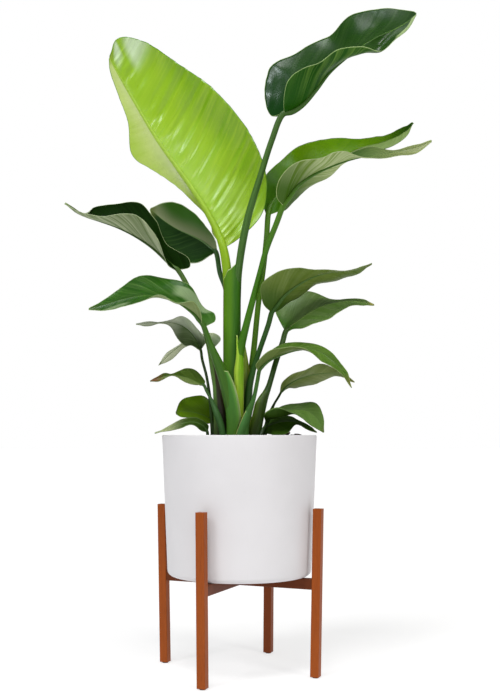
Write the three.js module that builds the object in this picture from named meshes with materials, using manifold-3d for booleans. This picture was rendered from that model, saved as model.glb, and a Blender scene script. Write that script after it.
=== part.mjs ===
// Potted bird of paradise: eighteen leaves on their stalks, standing in soil, in a plain white pot that
// rests on the crossed rails of a four-legged wooden stand. Millimetres, +Z up, the front towards -Y.

import * as THREE from 'three';
import Module from 'manifold-3d';
import { mergeVertices } from 'three/addons/utils/BufferGeometryUtils.js';

// Pot
const rimRadius = 152.5;
const rimHeight = 465;
const potFootRadius = 142.2;
const potFootHeight = 190;
const potWall = 8;
const potFloor = 10;
const potFootRounding = 10;
const potRimRounding = 3;
const potSides = 48;
const footArcSteps = 4;
const rimArcSteps = 3;

// Soil
const soilHeight = 454;
const soilRings = 4;
const soilSides = 32;
const soilBumps = 3;
const soilWaves = { perX: 0.083, shiftX: 0.6, perY: 0.071, shiftY: -0.4 };
const moundHeight = 12;
const moundAt = { x: 92, y: 52, reach: 42 };
const stemDepthInSoil = 34;

// Stand
const standShift = -3;
const legTurn = THREE.MathUtils.degToRad(22.8);
const legSide = 17.2;
const legTop = 324;
const legFootRadius = 162;
const legLean = 1;
const railTop = 189.7;
const railHeight = 21;
const railWidth = 14;
const woodRounding = 1.6;
const woodRoundingSteps = 2;
const lapExtra = 2;
const dowelRadius = 4;
const dowelLength = 40;
const dowelInset = 3;
const dowelSides = 12;
const glideRadius = 6;
const glideHeight = 2;
const glideSides = 16;
const gap = 0.3;
const mergeDistance = 1e-4;

// The eye that the plant's points are read from
const eye = { x: 20.8, distance: 1926, height: 465 };

// Leaf blades: the midrib starts as thick as the stalk and thins out towards the tip
const bladeThickness = 1;
const ribTip = { halfWidth: 0.8, depth: 0.4 };
const ribShare = { halfWidth: 0.85, depth: 1.15, thinning: 1.3 };
const cupping = 0.16;
const mostRibShare = 0.6;
const sheathEase = 0.16;
const baseReach = 4;
const bladeSteps = { large: 3, small: 2, perStation: 2 };

// Stalk rods: a thick one has more sides, and more steps along it, than a thin one
const thickFoot = 6;
const thickRod = { sides: 8, steps: 9 };
const thinRod = { sides: 6, steps: 4 };

// Stalks: points [across, depth, height] from the soil up to just short of the blade, the radius at the
// foot and at the blade, and the share of the length that the wider leaf sheath takes
const stalks = {
  tall_new: {
    foot: 9.1, top: 8.3, sheath: 0.88,
    route: [[-22.4, 7, 455], [-22.4, 7, 600], [-22.4, 7, 740], [-26, 7, 800]],
  },
  top_right: {
    foot: 8, top: 6.2, sheath: 0.66,
    route: [
      [-6, 17, 455], [-6, 17, 640], [-4.8, 10, 745], [-2, 0, 794],
      [14, -14, 887], [41, -29, 978], [64, -36, 1050],
    ],
  },
  right_upper: {
    foot: 8, top: 5.6, sheath: 0.45,
    route: [
      [-6, -7, 455], [-2.4, -10, 559], [3.2, -15, 638], [13.4, -20, 683],
      [39.4, -31, 782], [53, -37, 832], [73.5, -43, 885],
    ],
  },
  right_rear: {
    foot: 6.6, top: 5.6, sheath: 0.3,
    route: [
      [16, 31, 455], [20, 31, 560], [28.2, 31, 633],
      [38.2, 34, 732], [46.5, 38, 790], [53.5, 40, 855],
    ],
  },
  left_upper: {
    foot: 7.8, top: 5, sheath: 0.5,
    route: [
      [-38.5, -5, 455], [-42, 4, 534], [-49, 10, 584],
      [-58, 14, 634], [-72, 17, 683], [-104, 20, 762],
    ],
  },
  left_rear: {
    foot: 6, top: 5, sheath: 0.5,
    route: [[-26, 34, 455], [-23, 36, 600], [-22.5, 42, 700], [-27, 50, 752], [-38.5, 58, 785]],
  },
  left_front: {
    foot: 11.5, top: 5.2, sheath: 0.62,
    route: [
      [-10, -31, 455], [-11.5, -31, 485], [-20.5, -32, 534],
      [-33, -36, 584], [-52.9, -43, 633], [-62, -46, 658],
    ],
  },
  right_dull: {
    foot: 7, top: 5.2, sheath: 0.4,
    route: [[15, 6, 455], [18, 4, 550], [26, 2, 590], [39.8, -3, 633], [57.3, -7, 684]],
  },
  right_bright: {
    foot: 10.6, top: 5.4, sheath: 0.4,
    route: [[31.5, -9, 455], [36, -8, 490], [46, -6, 532], [57.5, -3, 560], [72, 4, 609], [85, 12, 648]],
  },
  arching: {
    foot: 7.8, top: 4, sheath: 0.5,
    route: [[10.2, -36, 455], [12, -36, 485], [18, -37, 510], [27.5, -39, 535], [35, -40, 570]],
  },
  right_small: {
    foot: 4.5, top: 2.4, sheath: 0.4,
    route: [[48, 40, 455], [56, 40, 495], [68, 31, 525], [77, 17, 540]],
  },
  right_low: {
    foot: 4.2, top: 3, sheath: 0.4,
    route: [[40, -30, 455], [46, -23, 474], [52, -12, 485]],
  },
  right_lowest: {
    foot: 4, top: 3, sheath: 0.4,
    route: [[38, 20, 440], [41, 19, 455], [43, 17, 463]],
  },
  left_grey: {
    foot: 4.5, top: 2.8, sheath: 0.3,
    route: [[-52, 4, 455], [-56.5, 8, 520], [-65, 18, 580], [-74, 26, 615]],
  },
  left_pale: {
    foot: 5, top: 3, sheath: 0.4,
    route: [[-42, 48, 455], [-43, 53, 560], [-48, 57, 615]],
  },
  left_thin: {
    foot: 6.8, top: 3, sheath: 0.5,
    route: [[-31, -26, 455], [-37, -26.5, 485], [-46, -26, 510], [-57, -24, 537], [-65, -23, 552]],
  },
  left_round: {
    foot: 4.5, top: 3, sheath: 0.4,
    route: [[-54, 32, 440], [-53, 33, 470], [-52, 34, 483]],
  },
  left_lowest: {
    foot: 4, top: 3, sheath: 0.4,
    route: [[-60, -14, 440], [-62, -14, 455], [-63, -14, 464]],
  },
};

// Blades: one row for each station from base to tip, with the midrib, the left and the right margin as
// seen from above with the tip ahead, each as [across, depth, height]
const blades = {
  tall_new: [
    [[-33, 8, 838], [-37, 9, 839], [-28, 7, 837]],
    [[-44, 14, 864], [-51, 50, 864], [-6, 22, 850]],
    [[-63, 24, 902], [-74, 92, 905], [44, 30, 900]],
    [[-92, 36, 948], [-116, 120, 952], [52, 24, 985]],
    [[-127, 49, 998], [-166, 134, 985], [14, 22, 1072]],
    [[-165, 60, 1052], [-213, 132, 1020], [-46, 26, 1147]],
    [[-200, 68, 1110], [-221, 118, 1085], [-120, 36, 1199]],
    [[-228, 68, 1158], [-244, 94, 1148], [-188, 46, 1244]],
    [[-246, 62, 1190], [-256, 70, 1186], [-240, 50, 1251]],
    [[-258, 56, 1212], [-259, 58, 1210], [-257, 54, 1216]],
  ],
  top_right: [
    [[85, -40, 1100], [82, -38, 1101], [89, -42, 1099]],
    [[102, -42, 1108], [62, -4, 1098], [88, -62, 1120]],
    [[124, -44, 1122], [51, 18, 1128], [93, -80, 1160]],
    [[150, -46, 1150], [58, 32, 1192], [118, -90, 1187]],
    [[177, -48, 1184], [118, 40, 1226], [160, -93, 1206]],
    [[207, -50, 1210], [178, 42, 1257], [198, -92, 1230]],
    [[240, -50, 1234], [222, 38, 1297], [240, -86, 1233]],
    [[275, -48, 1255], [270, 26, 1305], [276, -78, 1225]],
    [[308, -46, 1270], [312, 6, 1309], [304, -68, 1246]],
    [[332, -45, 1284], [338, -18, 1308], [330, -58, 1266]],
    [[350, -44, 1299], [350, -42, 1301], [350, -46, 1297]],
  ],
  right_upper: [
    [[86, -46, 918], [81, -44, 908], [88, -48, 917]],
    [[96, -48, 936], [94, -8, 914], [73, -68, 938]],
    [[112, -50, 958], [120, 8, 940], [78, -88, 970]],
    [[140, -53, 979], [152, 14, 962], [118, -98, 1007]],
    [[175, -56, 996], [186, 14, 985], [162, -100, 1013]],
    [[215, -58, 1010], [216, 10, 1020], [204, -95, 1030]],
    [[255, -58, 1019], [255, -2, 1032], [246, -88, 1015]],
    [[300, -56, 1025], [302, -24, 1031], [300, -78, 1018]],
    [[345, -54, 1034], [346, -40, 1041], [346, -66, 1023]],
    [[381, -52, 1048], [380, -51, 1050], [381, -53, 1046]],
  ],
  right_rear: [
    [[57, 42, 903], [52, 43, 905], [62, 41, 902]],
    [[62, 46, 924], [42, 72, 932], [84, 30, 914]],
    [[86, 52, 950], [48, 88, 972], [97, 26, 944]],
    [[124, 56, 978], [84, 98, 1010], [132, 26, 974]],
    [[165, 60, 1000], [138, 100, 1045], [171, 28, 998]],
    [[210, 62, 1017], [196, 95, 1054], [213, 32, 1022]],
    [[262, 60, 1028], [250, 82, 1052], [262, 40, 1041]],
    [[302, 56, 1038], [295, 70, 1063], [303, 42, 1053]],
    [[332, 50, 1059], [325, 58, 1076], [331, 42, 1069]],
    [[343, 46, 1084], [342, 47, 1085], [345, 45, 1083]],
  ],
  left_upper: [
    [[-122, 20, 792], [-125, 18, 791], [-118, 22, 793]],
    [[-131, 20, 801], [-139, 2, 799], [-99, 38, 796]],
    [[-147, 21, 816], [-153, -12, 828], [-101, 50, 814]],
    [[-171, 22, 837], [-171, -22, 868], [-142, 58, 843]],
    [[-203, 22, 858], [-198, -24, 897], [-166, 62, 890]],
    [[-240, 20, 876], [-240, -22, 903], [-200, 58, 926]],
    [[-278, 16, 889], [-276, -16, 897], [-250, 48, 921]],
    [[-304, 11, 897], [-300, -8, 901], [-286, 30, 917]],
    [[-324, 7, 906], [-322, -4, 910], [-304, 12, 904]],
    [[-346, 2, 924], [-347, 1, 923], [-345, 3, 926]],
  ],
  left_rear: [
    [[-47, 66, 828], [-49, 64, 826], [-44, 68, 830]],
    [[-56, 72, 836], [-60, 54, 821], [-47, 88, 848]],
    [[-73, 81, 849], [-86, 56, 809], [-66, 104, 878]],
    [[-96, 91, 861], [-122, 68, 811], [-94, 122, 908]],
    [[-121, 100, 872], [-147, 84, 836], [-122, 132, 923]],
    [[-147, 107, 888], [-165, 94, 868], [-150, 130, 924]],
    [[-177, 120, 913], [-178, 119, 911], [-176, 121, 915]],
  ],
  left_front: [
    [[-71, -50, 681], [-74, -52, 681], [-66, -48, 681]],
    [[-78, -53, 694], [-77, -64, 700], [-49, -32, 690]],
    [[-86, -55, 704], [-83, -76, 717], [-50, -18, 703]],
    [[-97, -57, 713], [-92, -85, 730], [-67, -6, 713]],
    [[-120, -60, 728], [-124, -94, 730], [-98, 2, 762]],
    [[-152, -63, 738], [-157, -98, 741], [-150, 8, 777]],
    [[-190, -66, 741], [-190, -98, 733], [-198, 4, 781]],
    [[-228, -68, 735], [-228, -92, 719], [-236, -14, 756]],
    [[-265, -70, 724], [-264, -82, 712], [-270, -44, 733]],
    [[-299, -70, 715], [-299, -71, 713], [-298, -69, 717]],
  ],
  right_dull: [
    [[64, -8, 708], [66, -6, 707], [62, -10, 709]],
    [[72, -10, 722], [80, 12, 716], [46, -28, 727]],
    [[87, -12, 741], [100, 26, 733], [43, -44, 764]],
    [[109, -14, 759], [128, 32, 746], [70, -56, 787]],
    [[136, -16, 775], [156, 32, 764], [118, -58, 798]],
    [[166, -18, 785], [192, 24, 769], [162, -50, 790]],
    [[200, -20, 790], [214, 10, 780], [200, -40, 792]],
    [[235, -22, 793], [238, -10, 787], [236, -32, 796]],
    [[262, -24, 804], [262, -23, 803], [262, -25, 806]],
  ],
  right_bright: [
    [[92, 16, 671], [90, 18, 672], [94, 14, 670]],
    [[100, 18, 680], [78, 42, 692], [108, 0, 674]],
    [[117, 21, 693], [72, 60, 714], [126, -12, 676]],
    [[140, 24, 709], [96, 72, 744], [149, -18, 684]],
    [[165, 26, 721], [136, 70, 748], [173, -16, 696]],
    [[192, 27, 728], [180, 58, 736], [199, -6, 709]],
    [[222, 27, 731], [220, 44, 735], [226, 10, 721]],
    [[248, 26, 727], [246, 34, 734], [249, 18, 720]],
    [[267, 24, 723], [267, 25, 724], [267, 23, 722]],
  ],
  arching: [
    [[39, -40, 592], [41, -38, 592], [36, -42, 592]],
    [[43, -41, 601], [50, -24, 606], [33, -50, 603]],
    [[58, -42, 614], [49, -6, 626], [52, -62, 624]],
    [[85, -44, 626], [88, 0, 645], [80, -67, 637]],
    [[115, -45, 634], [122, 2, 650], [112, -68, 640]],
    [[145, -46, 634], [152, -4, 646], [146, -66, 624]],
    [[175, -47, 620], [184, -16, 626], [176, -60, 604]],
    [[200, -48, 596], [206, -32, 598], [198, -56, 587]],
    [[222, -48, 559], [223, -47, 559], [221, -49, 560]],
  ],
  right_small: [
    [[82, 8, 549], [84, 9, 549], [80, 7, 550]],
    [[89, 5, 559], [97, 18, 560], [83, -6, 567]],
    [[105, 0, 571], [112, 26, 560], [102, -23, 585]],
    [[132, -1, 582], [142, 32, 563], [136, -28, 597]],
    [[160, -2, 587], [168, 26, 574], [162, -24, 604]],
    [[188, -3, 588], [191, 12, 581], [190, -14, 595]],
    [[210, -4, 582], [211, 2, 578], [211, -8, 586]],
    [[228, -5, 570], [228, -4, 569], [228, -6, 571]],
  ],
  right_low: [
    [[54, -6, 490], [56, -5, 490], [52, -8, 490]],
    [[61, -8, 500], [60, 8, 505], [50, -22, 507]],
    [[80, -10, 510], [84, 22, 519], [76, -36, 520]],
    [[108, -12, 516], [118, 28, 527], [104, -44, 512]],
    [[136, -13, 511], [150, 20, 528], [132, -40, 493]],
    [[156, -14, 494], [165, 4, 505], [152, -28, 480]],
    [[167, -15, 470], [168, -14, 471], [166, -16, 470]],
  ],
  right_lowest: [
    [[46, 16, 470], [45, 18, 471], [48, 14, 469]],
    [[56, 14, 482], [56, 32, 496], [58, -4, 468]],
    [[78, 11, 490], [78, 36, 502], [78, -16, 466]],
    [[100, 8, 492], [104, 30, 500], [97, -14, 470]],
    [[116, 5, 489], [118, 14, 494], [113, -4, 484]],
    [[135, 2, 482], [136, 8, 485], [134, -4, 478]],
    [[153, 0, 470], [154, 1, 471], [152, -1, 470]],
  ],
  left_grey: [
    [[-77, 28, 634], [-79, 26, 633], [-75, 30, 635]],
    [[-84, 28, 650], [-95, 13, 642], [-67, 44, 652]],
    [[-98, 28, 670], [-109, 0, 642], [-86, 58, 678]],
    [[-115, 27, 682], [-124, -4, 662], [-112, 60, 699]],
    [[-138, 26, 688], [-140, 8, 680], [-136, 46, 694]],
    [[-160, 25, 688], [-160, 19, 686], [-160, 31, 690]],
    [[-182, 24, 687], [-182, 16, 683], [-182, 32, 690]],
    [[-205, 23, 685], [-205, 22, 684], [-205, 24, 686]],
  ],
  left_pale: [
    [[-51, 58, 638], [-53, 56, 637], [-49, 60, 639]],
    [[-57, 60, 650], [-63, 48, 643], [-37, 70, 655]],
    [[-73, 62, 656], [-80, 44, 645], [-52, 84, 668]],
    [[-97, 64, 653], [-100, 42, 641], [-90, 88, 662]],
    [[-122, 65, 639], [-124, 48, 623], [-121, 82, 646]],
    [[-142, 65, 622], [-143, 55, 611], [-143, 75, 629]],
    [[-160, 64, 604], [-161, 63, 603], [-160, 65, 605]],
  ],
  left_thin: [
    [[-71, -22, 564], [-73, -23, 563], [-69, -21, 565]],
    [[-80, -22, 568], [-84, -32, 562], [-68, -12, 572]],
    [[-94, -22, 575], [-98, -40, 567], [-88, 0, 592]],
    [[-112, -22, 581], [-114, -38, 574], [-107, 2, 595]],
    [[-134, -22, 584], [-134, -27, 581], [-134, -17, 587]],
    [[-150, -22, 581], [-150, -30, 577], [-150, -10, 589]],
    [[-177, -24, 572], [-177, -25, 571], [-177, -23, 573]],
  ],
  left_round: [
    [[-52, 34, 492], [-54, 32, 490], [-50, 36, 494]],
    [[-62, 32, 500], [-62, 16, 489], [-58, 48, 530]],
    [[-82, 28, 508], [-84, 4, 492], [-73, 56, 543]],
    [[-102, 24, 512], [-104, 4, 497], [-100, 50, 541]],
    [[-116, 20, 512], [-118, 10, 501], [-117, 34, 531]],
    [[-126, 17, 508], [-126, 16, 507], [-126, 18, 510]],
  ],
  left_lowest: [
    [[-64, -14, 472], [-66, -16, 471], [-62, -12, 474]],
    [[-72, -16, 484], [-76, -28, 475], [-62, -2, 484]],
    [[-90, -20, 491], [-94, -36, 484], [-84, -2, 497]],
    [[-115, -25, 488], [-118, -38, 479], [-112, -8, 497]],
    [[-142, -30, 478], [-141, -38, 474], [-142, -20, 482]],
    [[-168, -34, 469], [-168, -35, 468], [-168, -33, 470]],
  ],
};

const largeBlades = ['tall_new', 'top_right', 'right_upper', 'right_rear', 'left_upper', 'left_front'];

// Colours, roughness and metalness
const finishes = {
  ceramic: { color: 0xe9e6e8, roughness: 0.55, metalness: 0 },
  soil: { color: 0x2a1f17, roughness: 0.95, metalness: 0 },
  wood: { color: 0xa65f34, roughness: 0.5, metalness: 0 },
  dowel: { color: 0xc79a6b, roughness: 0.6, metalness: 0 },
  rubber: { color: 0x1d1b1a, roughness: 0.8, metalness: 0 },
  leafDark: { color: 0x2c5a1c, roughness: 0.35, metalness: 0 },
  leafNew: { color: 0x86b324, roughness: 0.35, metalness: 0 },
  stalk: { color: 0x4a7a24, roughness: 0.4, metalness: 0 },
};

const wasm = await Module();
wasm.setup();

const plant = new THREE.Group();

function addPiece(parent, name, geometry, finish) {
  const piece = new THREE.Mesh(geometry, new THREE.MeshStandardMaterial(finishes[finish]));
  piece.name = name;
  parent.add(piece);
  return piece;
}

// Solids that are cut or joined
function toSolid(geometry) {
  const bare = geometry.clone();
  bare.deleteAttribute('normal');
  bare.deleteAttribute('uv');
  const merged = mergeVertices(bare, mergeDistance);
  const vertProperties = new Float32Array(merged.attributes.position.array);
  const triVerts = new Uint32Array(merged.index.array);
  return new wasm.Manifold(new wasm.Mesh({ numProp: 3, vertProperties, triVerts }));
}

function toGeometry(solid) {
  const mesh = solid.getMesh();
  const geometry = new THREE.BufferGeometry();
  geometry.setAttribute('position', new THREE.BufferAttribute(new Float32Array(mesh.vertProperties), 3));
  geometry.setIndex(new THREE.BufferAttribute(new Uint32Array(mesh.triVerts), 1));
  geometry.computeVertexNormals();
  return geometry;
}

function geometryFrom(points, faces) {
  const geometry = new THREE.BufferGeometry();
  geometry.setFromPoints(points);
  geometry.setIndex(faces.flat());
  geometry.computeVertexNormals();
  return geometry;
}

// A plant point is given where it shows in the upright plane through the pot's axis, and is carried
// along the line from the eye to its own depth
function seenPoint([across, depth, height]) {
  const spread = (eye.distance + depth) / eye.distance;
  return new THREE.Vector3(
    eye.x + (across - eye.x) * spread,
    depth,
    eye.height + (height - eye.height) * spread,
  );
}

function smoothCurve(points) {
  return new THREE.CatmullRomCurve3(points.map(seenPoint));
}

// A leaf's spine runs up its stalk and on along the midrib of its blade
function spineOf(name) {
  const { route } = stalks[name];
  const ribs = blades[name].map((station) => station[0]);
  const curve = smoothCurve([...route, ...ribs]);
  return { curve, joint: route.length / (route.length + ribs.length - 1) };
}

// A half blade's cross-section leaves the midrib and bends up to its margin
function halfSection(rib, margin, along, sideSign, halfRib, steps) {
  const across = margin.clone().sub(rib);
  const width = across.length();
  const down = across.clone().cross(along).multiplyScalar(-sideSign).normalize();
  const start = rib.clone().addScaledVector(across, Math.min(halfRib / width, mostRibShare));
  const bend = start.clone().add(margin).multiplyScalar(0.5).addScaledVector(down, cupping * width);
  const section = new THREE.QuadraticBezierCurve3(start, bend, margin.clone());
  return Array.from({ length: steps + 1 }, (_, i) => section.getPoint(i / steps));
}

function ribSize(name, t) {
  const fade = (1 - t) ** ribShare.thinning;
  const { top } = stalks[name];
  return {
    halfWidth: ribTip.halfWidth + top * ribShare.halfWidth * fade,
    depth: ribTip.depth + top * ribShare.depth * fade,
  };
}

function bladeGeometry(name, halfSteps, rowsPerStation) {
  const stations = blades[name];
  const { curve, joint } = spineOf(name);
  const leftCurve = smoothCurve(stations.map((station) => station[1]));
  const rightCurve = smoothCurve(stations.map((station) => station[2]));
  const rows = (stations.length - 1) * rowsPerStation;
  const upper = [];
  for (let row = 0; row <= rows; row += 1) {
    const t = row / rows;
    const rib = curve.getPoint(joint + t * (1 - joint));
    const along = curve.getTangent(joint + t * (1 - joint));
    const { halfWidth } = ribSize(name, t);
    const left = halfSection(rib, leftCurve.getPoint(t), along, -1, halfWidth, halfSteps);
    const right = halfSection(rib, rightCurve.getPoint(t), along, 1, halfWidth, halfSteps);
    upper.push([...left.reverse(), ...right]);
  }
  const lower = lowerFace(upper, halfSteps, (row) => ribSize(name, row / rows).depth);
  squareOff(upper, lower, curve.getPoint(joint), curve.getTangent(joint), stalks[name].top * baseReach);
  return sheetSolid(upper, lower);
}

// The lower face is the upper one set down by the thickness, and by more under the midrib
function lowerFace(upper, ribColumn, depthAt) {
  const lastRow = upper.length - 1;
  const lastColumn = upper[0].length - 1;
  return upper.map((line, row) => line.map((point, column) => {
    const ahead = upper[Math.min(row + 1, lastRow)][column];
    const behind = upper[Math.max(row - 1, 0)][column];
    const right = line[Math.min(column + 1, lastColumn)];
    const left = line[Math.max(column - 1, 0)];
    const up = right.clone().sub(left).cross(ahead.clone().sub(behind)).normalize();
    const isRib = column === ribColumn || column === ribColumn + 1;
    return point.clone().addScaledVector(up, -bladeThickness - (isRib ? depthAt(row) : 0));
  }));
}

// The end of a blade is cut square to the spine where it meets its stalk, and nothing of the blade that
// is near the stalk reaches back past that cut
function squareOff(upper, lower, centre, along, reach) {
  const distanceAhead = (point) => point.clone().sub(centre).dot(along);
  const isBehind = (point) => distanceAhead(point) < 0 && point.distanceTo(centre) < reach;
  const end = [...upper[0], ...lower[0]];
  const behind = [...upper.slice(1), ...lower.slice(1)].flat().filter(isBehind);
  for (const point of [...end, ...behind]) {
    point.addScaledVector(along, -distanceAhead(point));
  }
}

// A closed thin solid between two faces whose cells are split into triangles alike
function sheetSolid(upper, lower) {
  const rows = upper.length - 1;
  const columns = upper[0].length;
  const under = upper.flat().length;
  const at = (row, column) => row * columns + column;
  const faces = [];
  for (let row = 0; row < rows; row += 1) {
    for (let column = 0; column < columns - 1; column += 1) {
      const [a, b] = [at(row, column), at(row, column + 1)];
      const [c, d] = [b + columns, a + columns];
      faces.push([a, b, c], [a, c, d]);
      faces.push([under + a, under + c, under + b], [under + a, under + d, under + c]);
    }
  }
  const rim = [
    ...Array.from({ length: columns - 1 }, (_, i) => at(0, i)),
    ...Array.from({ length: rows }, (_, i) => at(i, columns - 1)),
    ...Array.from({ length: columns - 1 }, (_, i) => at(rows, columns - 1 - i)),
    ...Array.from({ length: rows }, (_, i) => at(rows - i, 0)),
  ];
  rim.forEach((from, i) => {
    const to = rim[(i + 1) % rim.length];
    faces.push([from, under + from, under + to], [from, under + to, to]);
  });
  return geometryFrom([...upper.flat(), ...lower.flat()], faces);
}

// A stalk is a round rod along its spine, straight down in the soil, wide in its sheath, and cut square
// just short of its blade
function stalkGeometry(name, sides, steps, clearance = 0) {
  const { foot, top, sheath } = stalks[name];
  const { curve, joint } = spineOf(name);
  const points = [];
  const addRing = (centre, along, radius) => {
    const sideways = new THREE.Vector3(1, 0, 0).addScaledVector(along, -along.x).normalize();
    const forward = along.clone().cross(sideways);
    for (let side = 0; side < sides; side += 1) {
      const turn = (side / sides) * 2 * Math.PI;
      points.push(centre.clone()
        .addScaledVector(sideways, radius * Math.cos(turn))
        .addScaledVector(forward, radius * Math.sin(turn)));
    }
  };
  const up = new THREE.Vector3(0, 0, 1);
  const buried = curve.getPoint(0).setZ(soilHeight - stemDepthInSoil - clearance);
  addRing(buried, up, foot + clearance);
  for (let step = 0; step <= steps; step += 1) {
    const t = step / steps;
    const narrowing = THREE.MathUtils.smoothstep(t, sheath - sheathEase, sheath + sheathEase);
    const radius = THREE.MathUtils.lerp(foot, top, narrowing) + clearance;
    const along = step === 0 ? up : curve.getTangent(joint * t);
    const shortfall = step === steps ? gap : 0;
    addRing(curve.getPoint(joint * t).addScaledVector(along, -shortfall), along, radius);
  }
  const last = (steps + 1) * sides;
  const topCentre = curve.getPoint(joint).addScaledVector(curve.getTangent(joint), -gap);
  points.push(buried, topCentre);
  const faces = [];
  for (let side = 0; side < sides; side += 1) {
    const next = (side + 1) % sides;
    for (let ring = 0; ring < last; ring += sides) {
      const [a, b] = [ring + side, ring + next];
      faces.push([a, b, b + sides], [a, b + sides, a + sides]);
    }
    faces.push([last + sides, next, side], [last + sides + 1, last + side, last + next]);
  }
  return geometryFrom(points, faces);
}

// Pot: a turned cup with rounded foot and rim
function potRadiusAt(height) {
  const t = (height - potFootHeight) / (rimHeight - potFootHeight);
  return THREE.MathUtils.lerp(potFootRadius, rimRadius, t);
}

function quarterArc(centre, radius, fromAngle, toAngle, steps) {
  return Array.from({ length: steps + 1 }, (_, i) => {
    const angle = THREE.MathUtils.lerp(fromAngle, toAngle, i / steps);
    return new THREE.Vector2(centre.x + radius * Math.cos(angle), centre.y + radius * Math.sin(angle));
  });
}

function potGeometry() {
  const footCentre = new THREE.Vector2(potFootRadius - potFootRounding, potFootHeight + potFootRounding);
  const outerRim = new THREE.Vector2(rimRadius - potRimRounding, rimHeight - potRimRounding);
  const innerRim = new THREE.Vector2(rimRadius - potWall + potRimRounding, rimHeight - potRimRounding);
  const floorHeight = potFootHeight + potFloor;
  const profile = [
    new THREE.Vector2(0, potFootHeight),
    ...quarterArc(footCentre, potFootRounding, -Math.PI / 2, 0, footArcSteps),
    ...quarterArc(outerRim, potRimRounding, 0, Math.PI / 2, rimArcSteps),
    ...quarterArc(innerRim, potRimRounding, Math.PI / 2, Math.PI, rimArcSteps),
    new THREE.Vector2(potRadiusAt(floorHeight) - potWall, floorHeight),
    new THREE.Vector2(0, floorHeight),
  ];
  return new THREE.LatheGeometry(profile, potSides).rotateX(Math.PI / 2);
}

// Soil: fills the pot, with a lumpy top, a low mound at the back right, and a hole for each stalk
function soilTop(x, y) {
  const { perX, shiftX, perY, shiftY } = soilWaves;
  const lumps = soilBumps * Math.sin(x * perX + shiftX) * Math.cos(y * perY + shiftY);
  const away = Math.hypot(x - moundAt.x, y - moundAt.y) / moundAt.reach;
  return soilHeight + lumps + moundHeight * Math.exp(-away * away);
}

function soilGeometry() {
  const floorHeight = potFootHeight + potFloor + gap;
  const bottomRadius = potRadiusAt(floorHeight) - potWall - 2 * gap;
  const edgeRadius = potRadiusAt(soilHeight) - potWall - 2 * gap;
  const points = [new THREE.Vector3(0, 0, floorHeight), new THREE.Vector3(0, 0, soilTop(0, 0))];
  const ringStart = points.length;
  const radii = Array.from({ length: soilRings }, (_, i) => (edgeRadius * (i + 1)) / soilRings);
  for (const radius of [...radii, bottomRadius]) {
    for (let side = 0; side < soilSides; side += 1) {
      const turn = (side / soilSides) * 2 * Math.PI;
      const [x, y] = [radius * Math.cos(turn), radius * Math.sin(turn)];
      points.push(new THREE.Vector3(x, y, radius === bottomRadius ? floorHeight : soilTop(x, y)));
    }
  }
  const faces = [];
  for (let side = 0; side < soilSides; side += 1) {
    const next = (side + 1) % soilSides;
    faces.push([1, ringStart + side, ringStart + next]);
    for (let ring = 0; ring < soilRings; ring += 1) {
      const inner = ringStart + ring * soilSides;
      const outer = inner + soilSides;
      faces.push([inner + side, outer + side, outer + next], [inner + side, outer + next, inner + next]);
    }
    const bottom = ringStart + soilRings * soilSides;
    faces.push([0, bottom + next, bottom + side]);
  }
  return geometryFrom(points, faces);
}

// Wood: square bars with rounded edges
function roundedBar(width, depth, length) {
  const [x, y] = [width / 2, depth / 2];
  const outline = new THREE.Shape();
  outline.moveTo(-x + woodRounding, -y);
  outline.lineTo(x - woodRounding, -y);
  outline.absarc(x - woodRounding, -y + woodRounding, woodRounding, -Math.PI / 2, 0);
  outline.lineTo(x, y - woodRounding);
  outline.absarc(x - woodRounding, y - woodRounding, woodRounding, 0, Math.PI / 2);
  outline.lineTo(-x + woodRounding, y);
  outline.absarc(-x + woodRounding, y - woodRounding, woodRounding, Math.PI / 2, Math.PI);
  outline.lineTo(-x, -y + woodRounding);
  outline.absarc(-x + woodRounding, -y + woodRounding, woodRounding, Math.PI, 1.5 * Math.PI);
  const pull = { depth: length, bevelEnabled: false, curveSegments: woodRoundingSteps };
  return new THREE.ExtrudeGeometry(outline, pull);
}

// A leg leans outwards a little, and its ends stay level
function legRadiusAt(height) {
  return legFootRadius + height * Math.tan(THREE.MathUtils.degToRad(legLean));
}

function leanOutwards(geometry) {
  const position = geometry.attributes.position;
  for (let i = 0; i < position.count; i += 1) {
    position.setX(i, position.getX(i) + legRadiusAt(position.getZ(i)));
  }
  geometry.computeVertexNormals();
  return geometry;
}

const railMiddle = railTop - railHeight / 2;
const dowelCentre = legRadiusAt(railMiddle);

function dowelGeometry(clearance) {
  const radius = dowelRadius + clearance;
  const length = dowelLength + 2 * clearance;
  const dowel = new THREE.CylinderGeometry(radius, radius, length, dowelSides);
  const outerEnd = dowelCentre + legSide / 2 - dowelInset;
  return dowel.rotateZ(Math.PI / 2).translate(outerEnd - dowelLength / 2, 0, railMiddle);
}

function turnedCopy(geometry, turn) {
  return geometry.clone().rotateZ(turn);
}

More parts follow.
